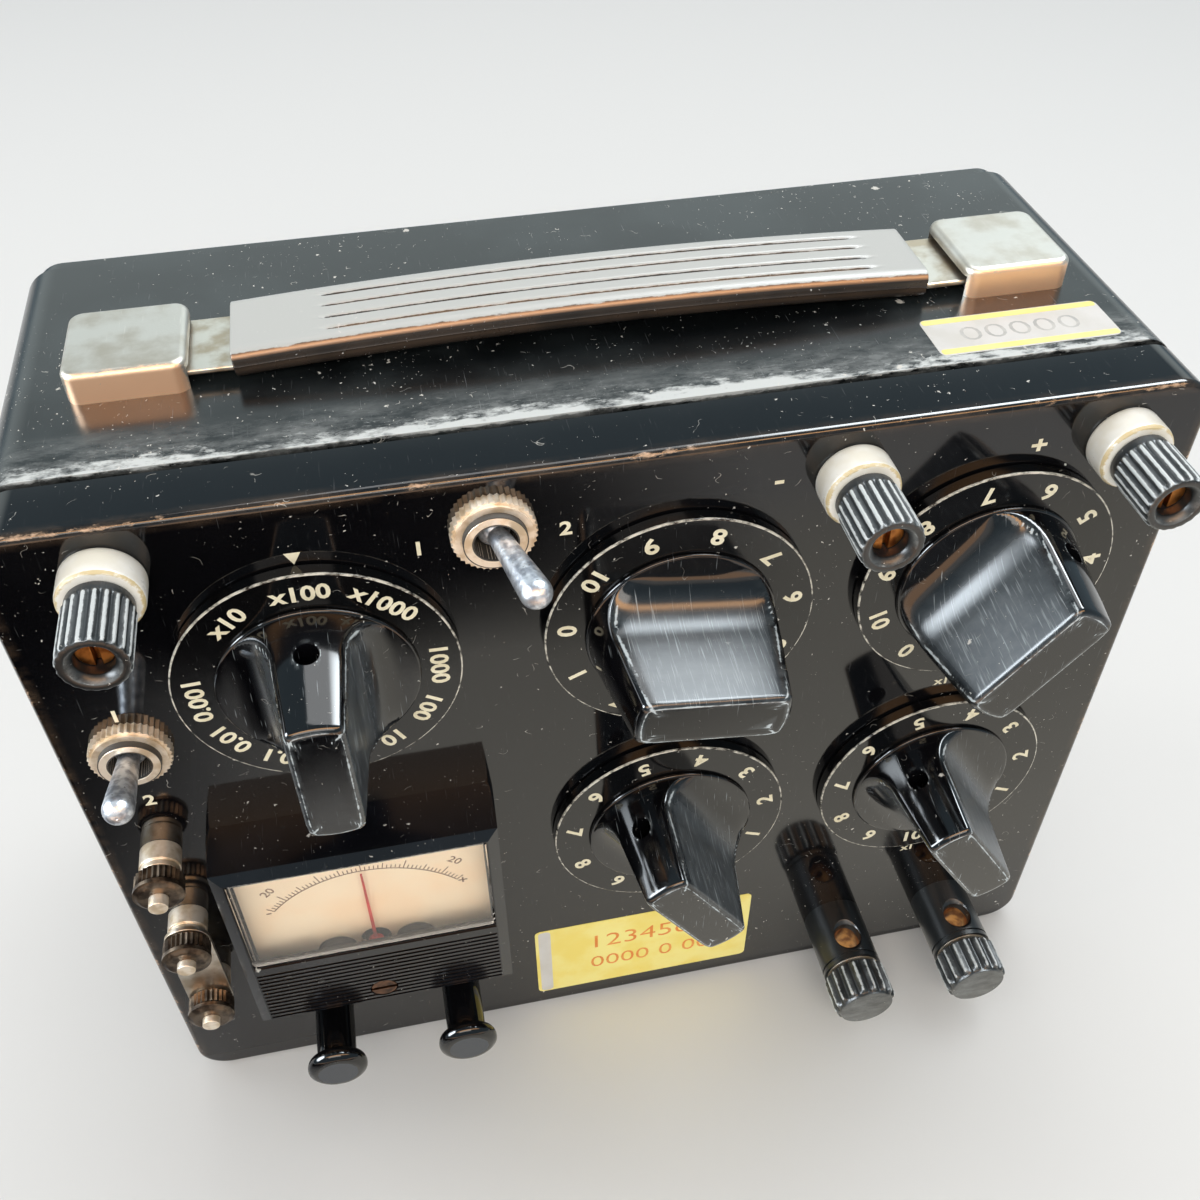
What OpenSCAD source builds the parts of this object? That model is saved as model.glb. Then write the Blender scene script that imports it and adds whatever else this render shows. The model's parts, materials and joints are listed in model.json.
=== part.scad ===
// Portable wheatstone bridge: a moulded tray with dials, galvanometer and posts on a deep case.
// Panel space is used for all that sits on the panel: X right, Y up, Z out towards the reader.

/* [Case] */
// Width of the case
case_w = 230; // [228:1:236]
// Height of the case without its handle
case_h = 186; // [186:1:190]
// Depth from the panel face to the back of the rear cover
case_d = 97; // [96:1:110]
// Radius of the four long corners of the case
case_r = 8; // [7:0.5:8]
// Depth of the moulded front tray that carries the panel
tray_d = 13.5; // [13:0.5:14]
// Thickness of the panel plate
panel_t = 4; // [3.5:0.1:4]
// Wall thickness of the tray and of the rear case
wall = 3.5; // [3:0.1:3.6]
// Width of the groove between the tray and the rear case
seam_w = 1.9; // [1:0.1:2.5]
// Thickness of the screwed rear cover
cover_t = 6.3; // [5:0.1:8]
// Radius of the rounded edge round the panel and round the rear cover
edge_r = 1.5; // [1:0.1:2]

/* [Handle] */
// Length of the vinyl grip
grip_l = 138; // [130:1:140]
// Width of the vinyl grip
grip_w = 21; // [20:0.5:22]
// Rise of the arched grip at its middle
grip_rise = 2.2; // [1:0.1:3]
// Width of the steel strap inside the grip
strap_w = 18.5; // [16:0.5:19]
// Thickness of the steel strap
strap_t = 1.2; // [0.8:0.1:1.4]
// Side of the square steel cap over each strap end
cap_side = 23; // [22:0.5:24]
// Height of the two steel caps
cap_h = 6.5; // [6.2:0.1:8]
// Distance from the middle of the handle to the middle of each cap
cap_x = 89.3; // [88:0.1:90]
// Sideways place of the handle's middle on the case
handle_x = 0.7; // [0:0.1:1]

/* [Dials and knobs] */
// Diameter of every dial disc
dial_d = 55; // [53:0.5:56]
// Height of the dial face above the panel
dial_h = 3.2; // [3:0.1:3.4]
// Diameter of the knob where it meets the dial
knob_d = 39; // [38:0.5:40]
// Length of the grip bar across the top of the knob
knob_tip_l = 30; // [28:0.5:31]
// Width of the grip bar at the top of the knob
knob_tip_w = 11; // [10:0.5:12]
// Height of the knob's top above the panel
knob_h = 29; // [27:0.5:30]
// Radius of the hollow that runs from the grip bar down to the knob's foot
scoop_r = 9.5; // [8:0.5:10]
// Diameter of the brass spindles
spindle_d = 6; // [6:0.1:6]
// Sideways place of the multiplier dial
dial_x1 = -61.8; // [-63:0.1:-61]
// Sideways place of the x1000 and x10 dials
dial_x2 = 9.4; // [8:0.1:10]
// Sideways place of the x100 and x1 dials
dial_x3 = 74.4; // [73:0.1:75]
// Height of the upper row of dials
dial_y1 = 144.5; // [144:0.1:145]
// Height of the lower row of dials
dial_y2 = 77.8; // [77:0.1:79]
// Number that the x1000 dial shows at its index
reading_x1000 = 3; // [0:1:10]
// Number that the x100 dial shows at its index
reading_x100 = 1; // [0:1:10]
// Number that the x10 dial shows at its index
reading_x10 = 10; // [0:1:10]
// Number that the x1 dial shows at its index
reading_x1 = 10; // [0:1:10]
// Angle by which the x100 dial stands past its number
past_x100 = 5; // [0:1:7]

/* [Galvanometer] */
// Side of the square meter, halfway up its tapered sides
meter_w = 61.4; // [60:0.1:62]
// Height of the meter front above the panel
meter_h = 13.6; // [13.4:0.1:14]
// Sideways place of the meter's middle
meter_x = -62; // [-62.2:0.1:-61.8]
// Height of the meter's middle
meter_y = 70.2; // [70:0.1:70.4]
// Diameter of the barrel behind the panel
barrel_d = 40; // [39:0.5:40]
// Length of the pointer from its pivot
pointer_l = 27; // [25:0.5:27]

/* [Posts and terminals] */
// Diameter of the white insulating collars
collar_d = 15; // [14:0.1:15.5]
// Height of the white insulating collars
collar_h = 6.5; // [6:0.1:8]
// Diameter of the fluted caps on the large posts
post_cap_d = 12.4; // [12:0.1:13]
// Height of the end of the large posts above the panel
post_h = 21; // [20:0.5:22]
// Height of the row of large posts
post_y = 174.5; // [174:0.1:175]
// Diameter of the resistance post bodies
rx_d = 15.5; // [15:0.1:16]
// Height of the resistance post bodies
rx_body_h = 17; // [16.5:0.1:17.5]
// Height of the end of the resistance post caps
rx_h = 28; // [27.5:0.5:29]
// Diameter of the cross hole that takes the lead under test
rx_hole_d = 7; // [6.8:0.1:7]
// Diameter of the small terminals' knurled nuts
nut_d = 10.4; // [10:0.1:11]
// Height of the row of resistance posts
rx_y = 16.8; // [16:0.1:17]

/* [Switches and buttons] */
// Diameter of the knurled toggle nuts
toggle_nut_d = 16; // [15:0.1:17]
// Tilt of each toggle lever from straight out
toggle_tilt = 14.7; // [12:0.1:15]
// Height of the toggle lever's tip above the panel
toggle_h = 22; // [20:0.5:23]
// Diameter of the mushroom head of the push buttons
button_d = 14.4; // [13.5:0.1:15]
// Height of the push buttons above the panel
button_h = 24; // [23:0.5:25]
// Travel of the push buttons
button_travel = 3.5; // [2:0.1:3.5]

/* [Hidden] */

$fn = 64;
eps = 0.05;
run_gap = 0.05;

multiply_at = [dial_x1, dial_y1];
x1000_at = [dial_x2, dial_y1];
x100_at = [dial_x3, dial_y1];
x10_at = [dial_x2, dial_y2];
x1_at = [dial_x3, dial_y2];
decades_at = [x1000_at, x100_at, x10_at, x1_at];

// A decade dial has eleven even steps and its index is below it.
decade_step = 360 / 11;
function decade_turn(reading) = 180 + decade_step * reading;

g_post_at = [-94, post_y];
minus_post_at = [42.5, post_y];
plus_post_at = [97.5, post_y];
posts_at = [g_post_at, minus_post_at, plus_post_at];

clamp_x = -103.2;
clamp_top_at = [clamp_x, 96];
clamp_middle_at = [clamp_x, 71];
clamp_bottom_at = [clamp_x, 46];
clamps_at = [clamp_top_at, clamp_middle_at, clamp_bottom_at];

rx_left_at = [58.3, rx_y];
rx_right_at = [89.4, rx_y];
rx_at = [rx_left_at, rx_right_at];

battery_toggle_at = [-26, 174];
range_toggle_at = [-100.7, 130];
battery_button_at = [-76.6, 29.5];
galvo_button_at = [-44.8, 29.5];
buttons_at = [battery_button_at, galvo_button_at];
zero_screw_at = [meter_x - 0.5, meter_y - 23.3];
pivot_at = [meter_x - 0.2, meter_y - 9.7];
barrel_at = [pivot_at[0], pivot_at[1] + 0.5];

// Corner screws hold cover, case and tray together.
screw_x = case_w / 2 - case_r;
screw_y = case_r;
screws_at = [for (x = [-screw_x, screw_x], y = [screw_y, case_h - screw_y]) [x, y]];
boss_r = 4.7;

case_front = -tray_d - seam_w;
case_back = -case_d + cover_t;
back_wall = 3;
spigot_t = 2.5;
spigot_gap = 0.2;
spigot_front = -8.5;

// Places for things that sit on the panel.
module panel_space() {
  translate([0, -case_d / 2, 0]) rotate([90, 0, 0]) children();
}

module on_panel(at) {
  panel_space() translate([at[0], at[1], 0]) children();
}

module at_each(places) {
  panel_space() for (p = places) translate([p[0], p[1], 0]) children();
}

// Solid disc or rod between two heights over the panel.
module rod(d, from, to) {
  translate([0, 0, from]) cylinder(d = d, h = to - from);
}

module tube(d_out, d_in, from, to) {
  difference() {
    rod(d_out, from, to);
    rod(d_in, from - 1, to + 1);
  }
}

module rounded_rect(w, h, r) {
  square([w - 2 * r, h], center = true);
  square([w, h - 2 * r], center = true);
  for (x = [-1, 1], y = [-1, 1]) translate([x * (w / 2 - r), y * (h / 2 - r)]) circle(r = r);
}

// Plate with rounded corners, between two heights, centred on the case's width and height.
module case_plate(w, h, r, from, to) {
  translate([0, case_h / 2, from]) linear_extrude(to - from) rounded_rect(w, h, r);
}

// Plate below height 0 with its front rim rounded off by `e`.
module soft_plate(w, h, r, t, e) {
  translate([0, 0, -t]) linear_extrude(t - e) rounded_rect(w, h, r);
  translate([0, 0, -t]) linear_extrude(t) rounded_rect(w - 2 * e, h - 2 * e, r - e);
  for (x = [-1, 1], y = [-1, 1]) {
    translate([x * (w / 2 - r), y * (h / 2 - r), -e]) rotate_extrude() {
      translate([r - e, 0]) circle(r = e, $fn = 32);
      translate([0, -e]) square([r - e, 2 * e]);
    }
  }
  for (y = [-1, 1]) translate([0, y * (h / 2 - e), -e]) rotate([0, 90, 0])
    cylinder(r = e, h = w - 2 * r, center = true, $fn = 32);
  for (x = [-1, 1]) translate([x * (w / 2 - e), 0, -e]) rotate([90, 0, 0])
    cylinder(r = e, h = h - 2 * r, center = true, $fn = 32);
}

// Round outline with hollow flutes cut round it.
module fluted_outline(d, flutes, flute_r, depth) {
  difference() {
    circle(d = d);
    for (i = [0 : flutes - 1]) rotate(i * 360 / flutes)
      translate([d / 2 + flute_r - depth, 0]) circle(r = flute_r, $fn = 24);
  }
}

// Round outline with a saw-tooth knurl round it.
module knurled_outline(d, teeth, depth) {
  polygon([for (i = [0 : 2 * teeth - 1])
    let (a = i * 180 / teeth, r = d / 2 - (i % 2) * depth) [r * cos(a), r * sin(a)]]);
}

module hex_nut(across, t, bore_d, top) {
  translate([0, 0, top - t]) difference() {
    cylinder(d = across / cos(30), h = t, $fn = 6);
    translate([0, 0, -1]) cylinder(d = bore_d, h = t + 2);
  }
}

// Case
bush_d = 10;
post_shank_d = 9;
clamp_shank_d = 4;
rx_shank_d = 6;
toggle_bush_d = 12;
guide_d = 12;
hole_gap = 0.2;

module panel_holes(d) {
  rod(d + hole_gap, -panel_t - 1, 1);
}

module front_panel() {
  color("black") panel_space() difference() {
    union() {
      difference() {
        translate([0, case_h / 2, 0]) soft_plate(case_w, case_h, case_r, tray_d, edge_r);
        case_plate(case_w - 2 * wall, case_h - 2 * wall, case_r - wall, -tray_d - 1, -panel_t);
      }
      for (p = screws_at) translate([p[0], p[1], 0]) rod(2 * boss_r, spigot_front + 0.3, -panel_t + eps);
    }
    for (p = screws_at) translate([p[0], p[1], 0]) rod(3.4, -tray_d, -2);
    for (p = concat([multiply_at], decades_at)) translate([p[0], p[1], 0]) panel_holes(bush_d);
    for (p = [battery_toggle_at, range_toggle_at]) translate([p[0], p[1], 0]) panel_holes(toggle_bush_d);
    for (p = buttons_at) translate([p[0], p[1], 0]) panel_holes(guide_d);
    for (p = posts_at) translate([p[0], p[1], 0]) panel_holes(post_shank_d);
    for (p = clamps_at) translate([p[0], p[1], 0]) panel_holes(clamp_shank_d);
    for (p = rx_at) translate([p[0], p[1], 0]) panel_holes(rx_shank_d);
    translate([barrel_at[0], barrel_at[1], 0]) panel_holes(barrel_d);
  }
}

module rear_case() {
  spigot_w = case_w - 2 * wall - 2 * spigot_gap;
  spigot_h = case_h - 2 * wall - 2 * spigot_gap;
  inner_w = case_w - 2 * wall;
  inner_h = case_h - 2 * wall;
  access_w = inner_w - 18;
  access_h = inner_h - 14;
  color("black") panel_space() difference() {
    union() {
      difference() {
        union() {
          case_plate(case_w, case_h, case_r, case_back, case_front);
          case_plate(spigot_w, spigot_h, case_r - wall, case_front - 4, spigot_front);
        }
        case_plate(inner_w, inner_h, case_r - wall, case_back + back_wall, case_front - 4);
        case_plate(spigot_w - 2 * spigot_t, spigot_h - 2 * spigot_t, 2, case_front - 5, 0);
        case_plate(access_w, access_h, 8, case_back - 1, case_back + back_wall + 1);
      }
      for (p = screws_at) translate([p[0], p[1], 0]) intersection() {
        rod(2 * boss_r, case_back + eps, spigot_front);
        translate([-p[0], case_h / 2 - p[1], -case_d]) linear_extrude(case_d)
          rounded_rect(spigot_w, spigot_h, case_r - wall);
      }
    }
    for (p = screws_at) translate([p[0], p[1], 0]) rod(4.6, case_back - 1, 0);
    for (s = [-1, 1]) translate([handle_x + s * cap_x, case_h - 8, -case_d / 2]) rotate([-90, 0, 0])
      cylinder(d = 3.6, h = 12);
  }
}

module rear_cover() {
  inset = 1.5;
  color("black") panel_space() difference() {
    translate([0, case_h / 2, case_back - cover_t]) rotate([180, 0, 0])
      soft_plate(case_w - 2 * inset, case_h - 2 * inset, case_r - inset, cover_t, edge_r);
    for (p = screws_at) translate([p[0], p[1], 0]) {
      rod(4.6, -case_d - 1, case_back + 1);
      rod(7.6, -case_d - 1, -case_d + 3.2);
    }
  }
}

module case_screws() {
  color("silver") at_each(screws_at) {
    rod(3.3, spigot_front - 6, -3);
    rod(4, -case_d + 0.5, spigot_front - 6 + eps);
    difference() {
      rod(7, -case_d + 0.2, -case_d + 3.2);
      translate([0, 0, -case_d + 0.2]) cube([8, 1.2, 2.4], center = true);
    }
  }
}

module rear_feet() {
  pad_h = 4;
  feet = [for (x = [-92, 92], y = [20, case_h - 20]) [x, y]];
  color("dimgray") at_each(feet) difference() {
    translate([0, 0, -case_d - pad_h]) cylinder(d1 = 12.5, d2 = 14, h = pad_h);
    rod(6, -case_d - pad_h - 1, -case_d - pad_h + 2);
  }
}

// Handle
strap_bottom = 2;
strap_top = strap_bottom + strap_t;
arch_r = (grip_l * grip_l / 4 + grip_rise * grip_rise) / (2 * grip_rise);
arch_a = 2 * asin(grip_l / 2 / arch_r);
grip_t = 5.8;

module handle_space() {
  translate([handle_x, 0, case_h]) children();
}

// Sweeps an outline, drawn across the handle and up from the end's height, along the arch.
module arched(angle) {
  translate([0, 0, grip_rise - arch_r]) rotate([90, 0, 0]) rotate([0, 0, 90 - angle / 2])
    rotate_extrude(angle = angle, $fn = 720) translate([arch_r, 0]) rotate(-90) mirror([0, 1])
      rotate(180) children();
}

module grip_outline() {
  r = 2.2;
  groove_w = 1;
  difference() {
    translate([0, 0.6 + grip_t / 2]) rounded_rect(grip_w, grip_t, r);
    for (x = [-6.4, -2.3, 2.1, 6.1]) translate([x - groove_w / 2, 0.6 + grip_t - 0.7])
      square([groove_w, 2]);
    translate([0, strap_bottom + strap_t / 2]) square([strap_w + 0.2, strap_t + 0.2], center = true);
  }
}

module handle_grip() {
  color("dimgray") handle_space() arched(arch_a) grip_outline();
}

// Rise of the arch over its ends.
function arch_rise(x) = abs(x) < grip_l / 2 ? sqrt(arch_r * arch_r - x * x) - arch_r + grip_rise : 0;

module handle_strap() {
  reach = cap_x + 8;
  steps = 24;
  along = [for (i = [0 : steps]) (i / steps - 0.5) * grip_l];
  color("silver") handle_space() difference() {
    rotate([90, 0, 0]) linear_extrude(strap_w, center = true) polygon(concat(
      [[-reach, strap_bottom], [-reach, strap_top]],
      [for (x = along) [x, strap_top + arch_rise(x)]],
      [[reach, strap_top], [reach, strap_bottom]],
      [for (x = along) [-x, strap_bottom + arch_rise(x)]]
    ));
    for (s = [-1, 1]) translate([s * (cap_x + 2.5), 0, 0]) {
      cube([8, 5.4, 12], center = true);
      for (e = [-4, 4]) translate([e, 0, 0]) cylinder(d = 5.4, h = 12, center = true);
    }
  }
}

module handle_anchors() {
  plate_t = 1.5;
  color("silver") handle_space() for (s = [-1, 1]) translate([s * cap_x, 0, 0]) {
    translate([0, 0, plate_t / 2]) cube([19, 20, plate_t], center = true);
    cylinder(d = 4.8, h = strap_top + 0.4);
    translate([0, 0, strap_top + 0.3]) cylinder(d = 8.5, h = 1.1);
    translate([0, 0, -9]) cylinder(d = 3.4, h = 9.5);
    translate([0, 0, -wall - 2.6]) cylinder(d = 8, h = 2.6);
  }
}

module handle_caps() {
  sheet = 1;
  mouth_w = strap_w + 1.4;
  mouth_h = strap_top + 1.2;
  color("silver") handle_space() for (s = [-1, 1]) translate([s * cap_x, 0, 0]) difference() {
    translate([0, 0, cap_h]) soft_plate(cap_side, cap_side, 3, cap_h, 1.4);
    translate([0, 0, -1]) linear_extrude(cap_h - sheet + 1)
      rounded_rect(cap_side - 2 * sheet, cap_side - 2 * sheet, 2);
    translate([-s * cap_side / 2, 0, mouth_h / 2 - 0.5]) cube([4, mouth_w, mouth_h + 1], center = true);
  }
}

// Dials and knobs
foot_h = dial_h + 1;
bar_draft = 1.4;
grub_h = 13.2;
grub_d = 4.4;
grub_l = 6;
spindle_flat = 2.4;
spindle_top = 19;
spindle_end = -33;

module dial() {
  color("black") difference() {
    rotate_extrude() {
      translate([dial_d / 2 - 1.5, 0.3]) square([1.5, dial_h - 0.3]);
      translate([4, 2.2]) square([dial_d / 2 - 4.2, dial_h - 2.2]);
      translate([8.2, 2]) square([2, 1]);
    }
    rod(spindle_d + 2 * run_gap + 4, -1, dial_h + 1);
  }
}

// Outline of the knob seen along its bar: foot, hollow and bar.
module knob_outline() {
  bar_foot = knob_tip_w / 2 + bar_draft;
  fillet_y = foot_h + scoop_r;
  shoulder = bar_foot + scoop_r;
  difference() {
    polygon([
      [-knob_tip_w / 2, knob_h], [knob_tip_w / 2, knob_h], [bar_foot, fillet_y],
      [shoulder, fillet_y], [shoulder, foot_h], [knob_d / 2, foot_h], [knob_d / 2, dial_h],
      [-knob_d / 2, dial_h], [-knob_d / 2, foot_h], [-shoulder, foot_h], [-shoulder, fillet_y],
      [-bar_foot, fillet_y]
    ]);
    for (s = [-1, 1]) translate([s * shoulder, fillet_y]) circle(r = scoop_r, $fn = 96);
  }
}

// Knob with its set-screw hole on the narrow side that lies at `screw_side` (1 up, -1 down).
module knob(screw_side) {
  color("black") difference() {
    intersection() {
      translate([0, 0, dial_h])
        cylinder(d1 = knob_d, d2 = knob_tip_l, h = knob_h - dial_h, $fn = 128);
      rotate([90, 0, 0]) linear_extrude(2 * knob_d, center = true) knob_outline();
    }
    rod(spindle_d + 2 * run_gap, 0, spindle_top + 0.5);
    translate([0, 0, grub_h]) rotate([-90 * screw_side, 0, 0]) cylinder(d = grub_d + 0.2, h = knob_d);
  }
}

// Brass spindle with the grub screw in the knob, and the wiper arm between the wafers.
module spindle(screw_side) {
  flat_y = screw_side > 0 ? spindle_flat : -spindle_flat - spindle_d;
  color("goldenrod") {
    difference() {
      rod(spindle_d, spindle_end, spindle_top);
      translate([-spindle_d, flat_y, grub_h - 4]) cube([2 * spindle_d, spindle_d, spindle_top]);
    }
    translate([0, 0, grub_h]) rotate([-90 * screw_side, 0, 0]) translate([0, 0, spindle_flat + 0.05])
      cylinder(d = grub_d, h = grub_l);
    difference() {
      rod(11, -28, -22);
      rod(spindle_d - eps, -29, -21);
    }
    translate([0, screw_side * 8, -25.3]) cube([4, 16, 1], center = true);
  }
}

module dial_at(at, turn) {
  on_panel(at) rotate(-turn) dial();
}

module multiply_dial() {
  dial_at(multiply_at, 0);
}

module multiply_knob() {
  on_panel(multiply_at) knob(1);
}

module multiply_spindle() {
  on_panel(multiply_at) spindle(1);
}

turn_x1000 = decade_turn(reading_x1000);
turn_x100 = decade_turn(reading_x100) + past_x100;
turn_x10 = decade_turn(reading_x10);
turn_x1 = decade_turn(reading_x1);

module x1000_dial() {
  dial_at(x1000_at, turn_x1000);
}

module x1000_knob() {
  on_panel(x1000_at) rotate(-turn_x1000) knob(-1);
}

module x1000_spindle() {
  on_panel(x1000_at) rotate(-turn_x1000) spindle(-1);
}

module x100_dial() {
  dial_at(x100_at, turn_x100);
}

module x100_knob() {
  on_panel(x100_at) rotate(-turn_x100) knob(-1);
}

module x100_spindle() {
  on_panel(x100_at) rotate(-turn_x100) spindle(-1);
}

module x10_dial() {
  dial_at(x10_at, turn_x10);
}

module x10_knob() {
  on_panel(x10_at) rotate(-turn_x10) knob(-1);
}

module x10_spindle() {
  on_panel(x10_at) rotate(-turn_x10) spindle(-1);
}

module x1_dial() {
  dial_at(x1_at, turn_x1);
}

module x1_knob() {
  on_panel(x1_at) rotate(-turn_x1) knob(-1);
}

module x1_spindle() {
  on_panel(x1_at) rotate(-turn_x1) spindle(-1);
}

// Rotary switch: bush and nut through the panel, two wafers on pillars, studs on the rear wafer.
module rotary_switch(studs, first, step) {
  wafer_d = 46;
  stud_ring = 14.5;
  color("goldenrod") {
    tube(bush_d, spindle_d + 2 * run_gap, -9, 1.8);
    hex_nut(13, 1.6, bush_d - eps, 1.7);
    hex_nut(14, 1.8, bush_d - eps, -panel_t);
  }
  color("sienna") {
    tube(wafer_d, bush_d - eps, -7.5, -panel_t - 1.75);
    tube(wafer_d, 13, -31.6, -30);
    for (a = [45, 225]) rotate(a) translate([20, 0, 0]) rod(4, -31, -7);
  }
  color("silver") for (i = [0 : studs - 1]) rotate(-first - i * step) translate([0, stud_ring, 0])
    rod(3, -30.5, -26.2);
}

module multiply_switch() {
  on_panel(multiply_at) rotary_switch(10, 0, 36);
}

module decade_switches() {
  at_each(decades_at) rotary_switch(11, 180, decade_step);
}

board_front = -44;

module resistor_board() {
  standoffs = [for (x = [-90, 90], y = [56, 166]) [x, y]];
  color("sienna") panel_space() translate([0, 112, board_front - 2]) linear_extrude(2)
    rounded_rect(206, 128, 4);
  color("silver") at_each(standoffs) {
    rod(5, board_front, -panel_t);
    rod(3, board_front - 4, board_front + eps);
  }
}

// Wire-wound resistor spools, a row for each decade and one for the ratio arms.
module resistor_bobbins() {
  rows = 5;
  columns = 6;
  color("ivory") panel_space() for (i = [0 : columns - 1], j = [0 : rows - 1])
    translate([-80 + 32 * i, 64 + 24 * j, board_front - 2]) rotate_extrude() {
      translate([0, -1.5]) square([7, 1.5]);
      translate([0, -12.5]) square([5.6, 11.5]);
      translate([0, -14]) square([7, 1.5]);
    }
}

// Toggle switches
toggle_bore = 8;

// Bat lever on a ball, with a cross pin along Y turned by `pin_turn`.
module toggle_lever(pin_turn) {
  ball_d = 6.4;
  pin_d = 1.8;
  color("silver") {
    rotate_extrude() {
      polygon([[0, -5], [1.4, -5], [1.4, 0], [2, 0], [2.15, 4], [2.95, toggle_h - 3], [2.95, toggle_h - 2.8],
        [0, toggle_h - 2.8]]);
    }
    translate([0, 0, toggle_h - 2.95]) sphere(r = 2.95, $fn = 48);
    sphere(d = ball_d, $fn = 48);
    rotate([90, 0, pin_turn]) cylinder(d = pin_d, h = toggle_bore - 0.7, center = true);
  }
}

module battery_toggle_lever() {
  on_panel(battery_toggle_at) rotate([0, toggle_tilt, 0]) toggle_lever(0);
}

module range_toggle_lever() {
  on_panel(range_toggle_at) rotate([-toggle_tilt, 0, 0]) toggle_lever(90);
}

module toggle_body() {
  color("dimgray") difference() {
    union() {
      rod(toggle_bush_d - 0.1, -8, 4.4);
      translate([0, 0, -16.05]) cube([27, 11, 24], center = true);
      for (x = [-9, 0, 9]) translate([x, 0, -30]) cube([1, 5, 6], center = true);
    }
    rod(toggle_bore, -9, 5);
  }
}

module toggle_bodies() {
  on_panel(battery_toggle_at) toggle_body();
  on_panel(range_toggle_at) rotate(90) toggle_body();
}

module toggle_nut() {
  color("silver") difference() {
    union() {
      linear_extrude(2.4) knurled_outline(toggle_nut_d, 40, 0.45);
      rod(toggle_nut_d - 1.6, 2.4 - eps, 3);
    }
    rod(toggle_bush_d - 0.1, -1, 4);
  }
}

module toggle_nuts() {
  on_panel(battery_toggle_at) toggle_nut();
  on_panel(range_toggle_at) toggle_nut();
}

// Push buttons
stem_d = 9.5;
stem_end = -13;
guide_end = -22;
pin_end = -25;

module button() {
  head_t = 4;
  r = button_d / 2;
  color("black") rotate_extrude() {
    translate([0, stem_end]) square([stem_d / 2, button_h - head_t - stem_end + 0.6]);
    translate([0, pin_end]) square([2, stem_end - pin_end + eps]);
    translate([0, -23.4]) square([3.4, 1]);
    polygon([[0, button_h - head_t], [r - 1.2, button_h - head_t], [r, button_h - head_t + 1.2],
      [r, button_h - head_t + 1.9], [r - 0.5, button_h - 0.8], [r - 1.2, button_h - 0.2],
      [r - 2.4, button_h], [0, button_h]]);
  }
}

module battery_button() {
  on_panel(battery_button_at) button();
}

module galvo_button() {
  on_panel(galvo_button_at) button();
}

module button_guides() {
  color("dimgray") at_each(buttons_at) rotate_extrude() {
    translate([stem_d / 2 + run_gap, guide_end]) square([guide_d / 2 - stem_d / 2 - run_gap, -guide_end]);
    translate([2 + run_gap, guide_end]) square([guide_d / 2 - 2.5, 2]);
    translate([guide_d / 2 - 0.2, -panel_t - 2]) square([3, 2]);
  }
}

module button_spring() {
  color("silver") tube(8.4, 5.4, guide_end + 2.05, stem_end - 0.05);
}

module battery_button_spring() {
  on_panel(battery_button_at) button_spring();
}

module galvo_button_spring() {
  on_panel(galvo_button_at) button_spring();
}

// Leaf contact under each button, on a block that stands on the panel's back.
module key_contacts() {
  leaf = pin_end - button_travel - 0.6;
  color("sienna") at_each(buttons_at) {
    translate([0, -14, 0]) rod(5, leaf - 5, -panel_t);
    translate([0, -14, leaf - 3]) cube([10, 8, 6], center = true);
    translate([0, -7, leaf - 0.3]) cube([6, 20, 0.6], center = true);
  }
}

// Galvanometer
taper = 0.6;
bevel_w = 2.4;
bevel_h = 1.4;
front_t = 2.4;
window_w = 55.4;
window_h = 32.6;
window_y = meter_y + 11.5;
window_t = 1.5;
strip_y = meter_y - 6.4;
scale_from = 6.1;
scale_t = 0.8;

// Outline of the meter from the side: tapered wall, bevel, flat front.
module meter_profile() {
  base = meter_w / 2 + taper / 2;
  edge = meter_w / 2 - taper / 2;
  polygon([
    [-base, 0], [base, 0], [edge, meter_h - bevel_h], [edge - bevel_w, meter_h],
    [bevel_w - edge, meter_h], [-edge, meter_h - bevel_h]
  ]);
}

module meter_block() {
  intersection() {
    rotate([90, 0, 0]) linear_extrude(meter_w + 2, center = true) meter_profile();
    rotate([90, 0, 90]) linear_extrude(meter_w + 2, center = true) meter_profile();
    linear_extrude(meter_h) rounded_rect(meter_w + taper, meter_w + taper, 1.5);
  }
}

module meter_case() {
  side = 2.4;
  rib_step = 1.55;
  ribs = 13;
  color("black") panel_space() difference() {
    union() {
      difference() {
        union() {
          translate([meter_x, meter_y, 0]) meter_block();
          translate([barrel_at[0], barrel_at[1], 0]) rod(barrel_d, -26, eps);
        }
        translate([meter_x, meter_y, 2]) linear_extrude(meter_h - front_t - 2)
          rounded_rect(meter_w - 2 * side, meter_w - 2 * side, 1);
        translate([barrel_at[0], barrel_at[1], 0]) rod(barrel_d - 4, -24, 3);
      }
      translate([zero_screw_at[0], zero_screw_at[1] - 0.2, meter_h - 5.5]) cube([8, 5.6, 7], center = true);
      for (x = [-24, 24], y = [-12, 24]) translate([meter_x + x, meter_y + y, 0]) rod(5, 1, scale_from);
      translate([meter_x, strip_y, meter_h]) cube([window_w, 2.2, 0.6], center = true);
    }
    // window opening with a rebate round it
    translate([meter_x, window_y, 2]) linear_extrude(meter_h) square([window_w - 1.6, window_h - 1.6], center = true);
    translate([meter_x, window_y, meter_h - window_t]) linear_extrude(3) square([window_w, window_h], center = true);
    // fine ribs across the lower part
    for (i = [0 : ribs - 1]) translate([meter_x, meter_y - 27.3 + rib_step * i, meter_h])
      cube([window_w, 0.8, 0.8], center = true);
    translate([zero_screw_at[0], zero_screw_at[1], 0]) {
      rod(6.6, meter_h - 1.6, meter_h + 1);
      rod(3.2, 2, meter_h);
    }
  }
}

module meter_window() {
  color("white", 0.3) on_panel([meter_x, window_y]) translate([0, 0, meter_h - window_t + 0.05])
    linear_extrude(window_t - 0.1) square([window_w - 0.2, window_h - 0.2], center = true);
}

pillar_x = 9.1;
pillar_y = -1.6;

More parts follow.
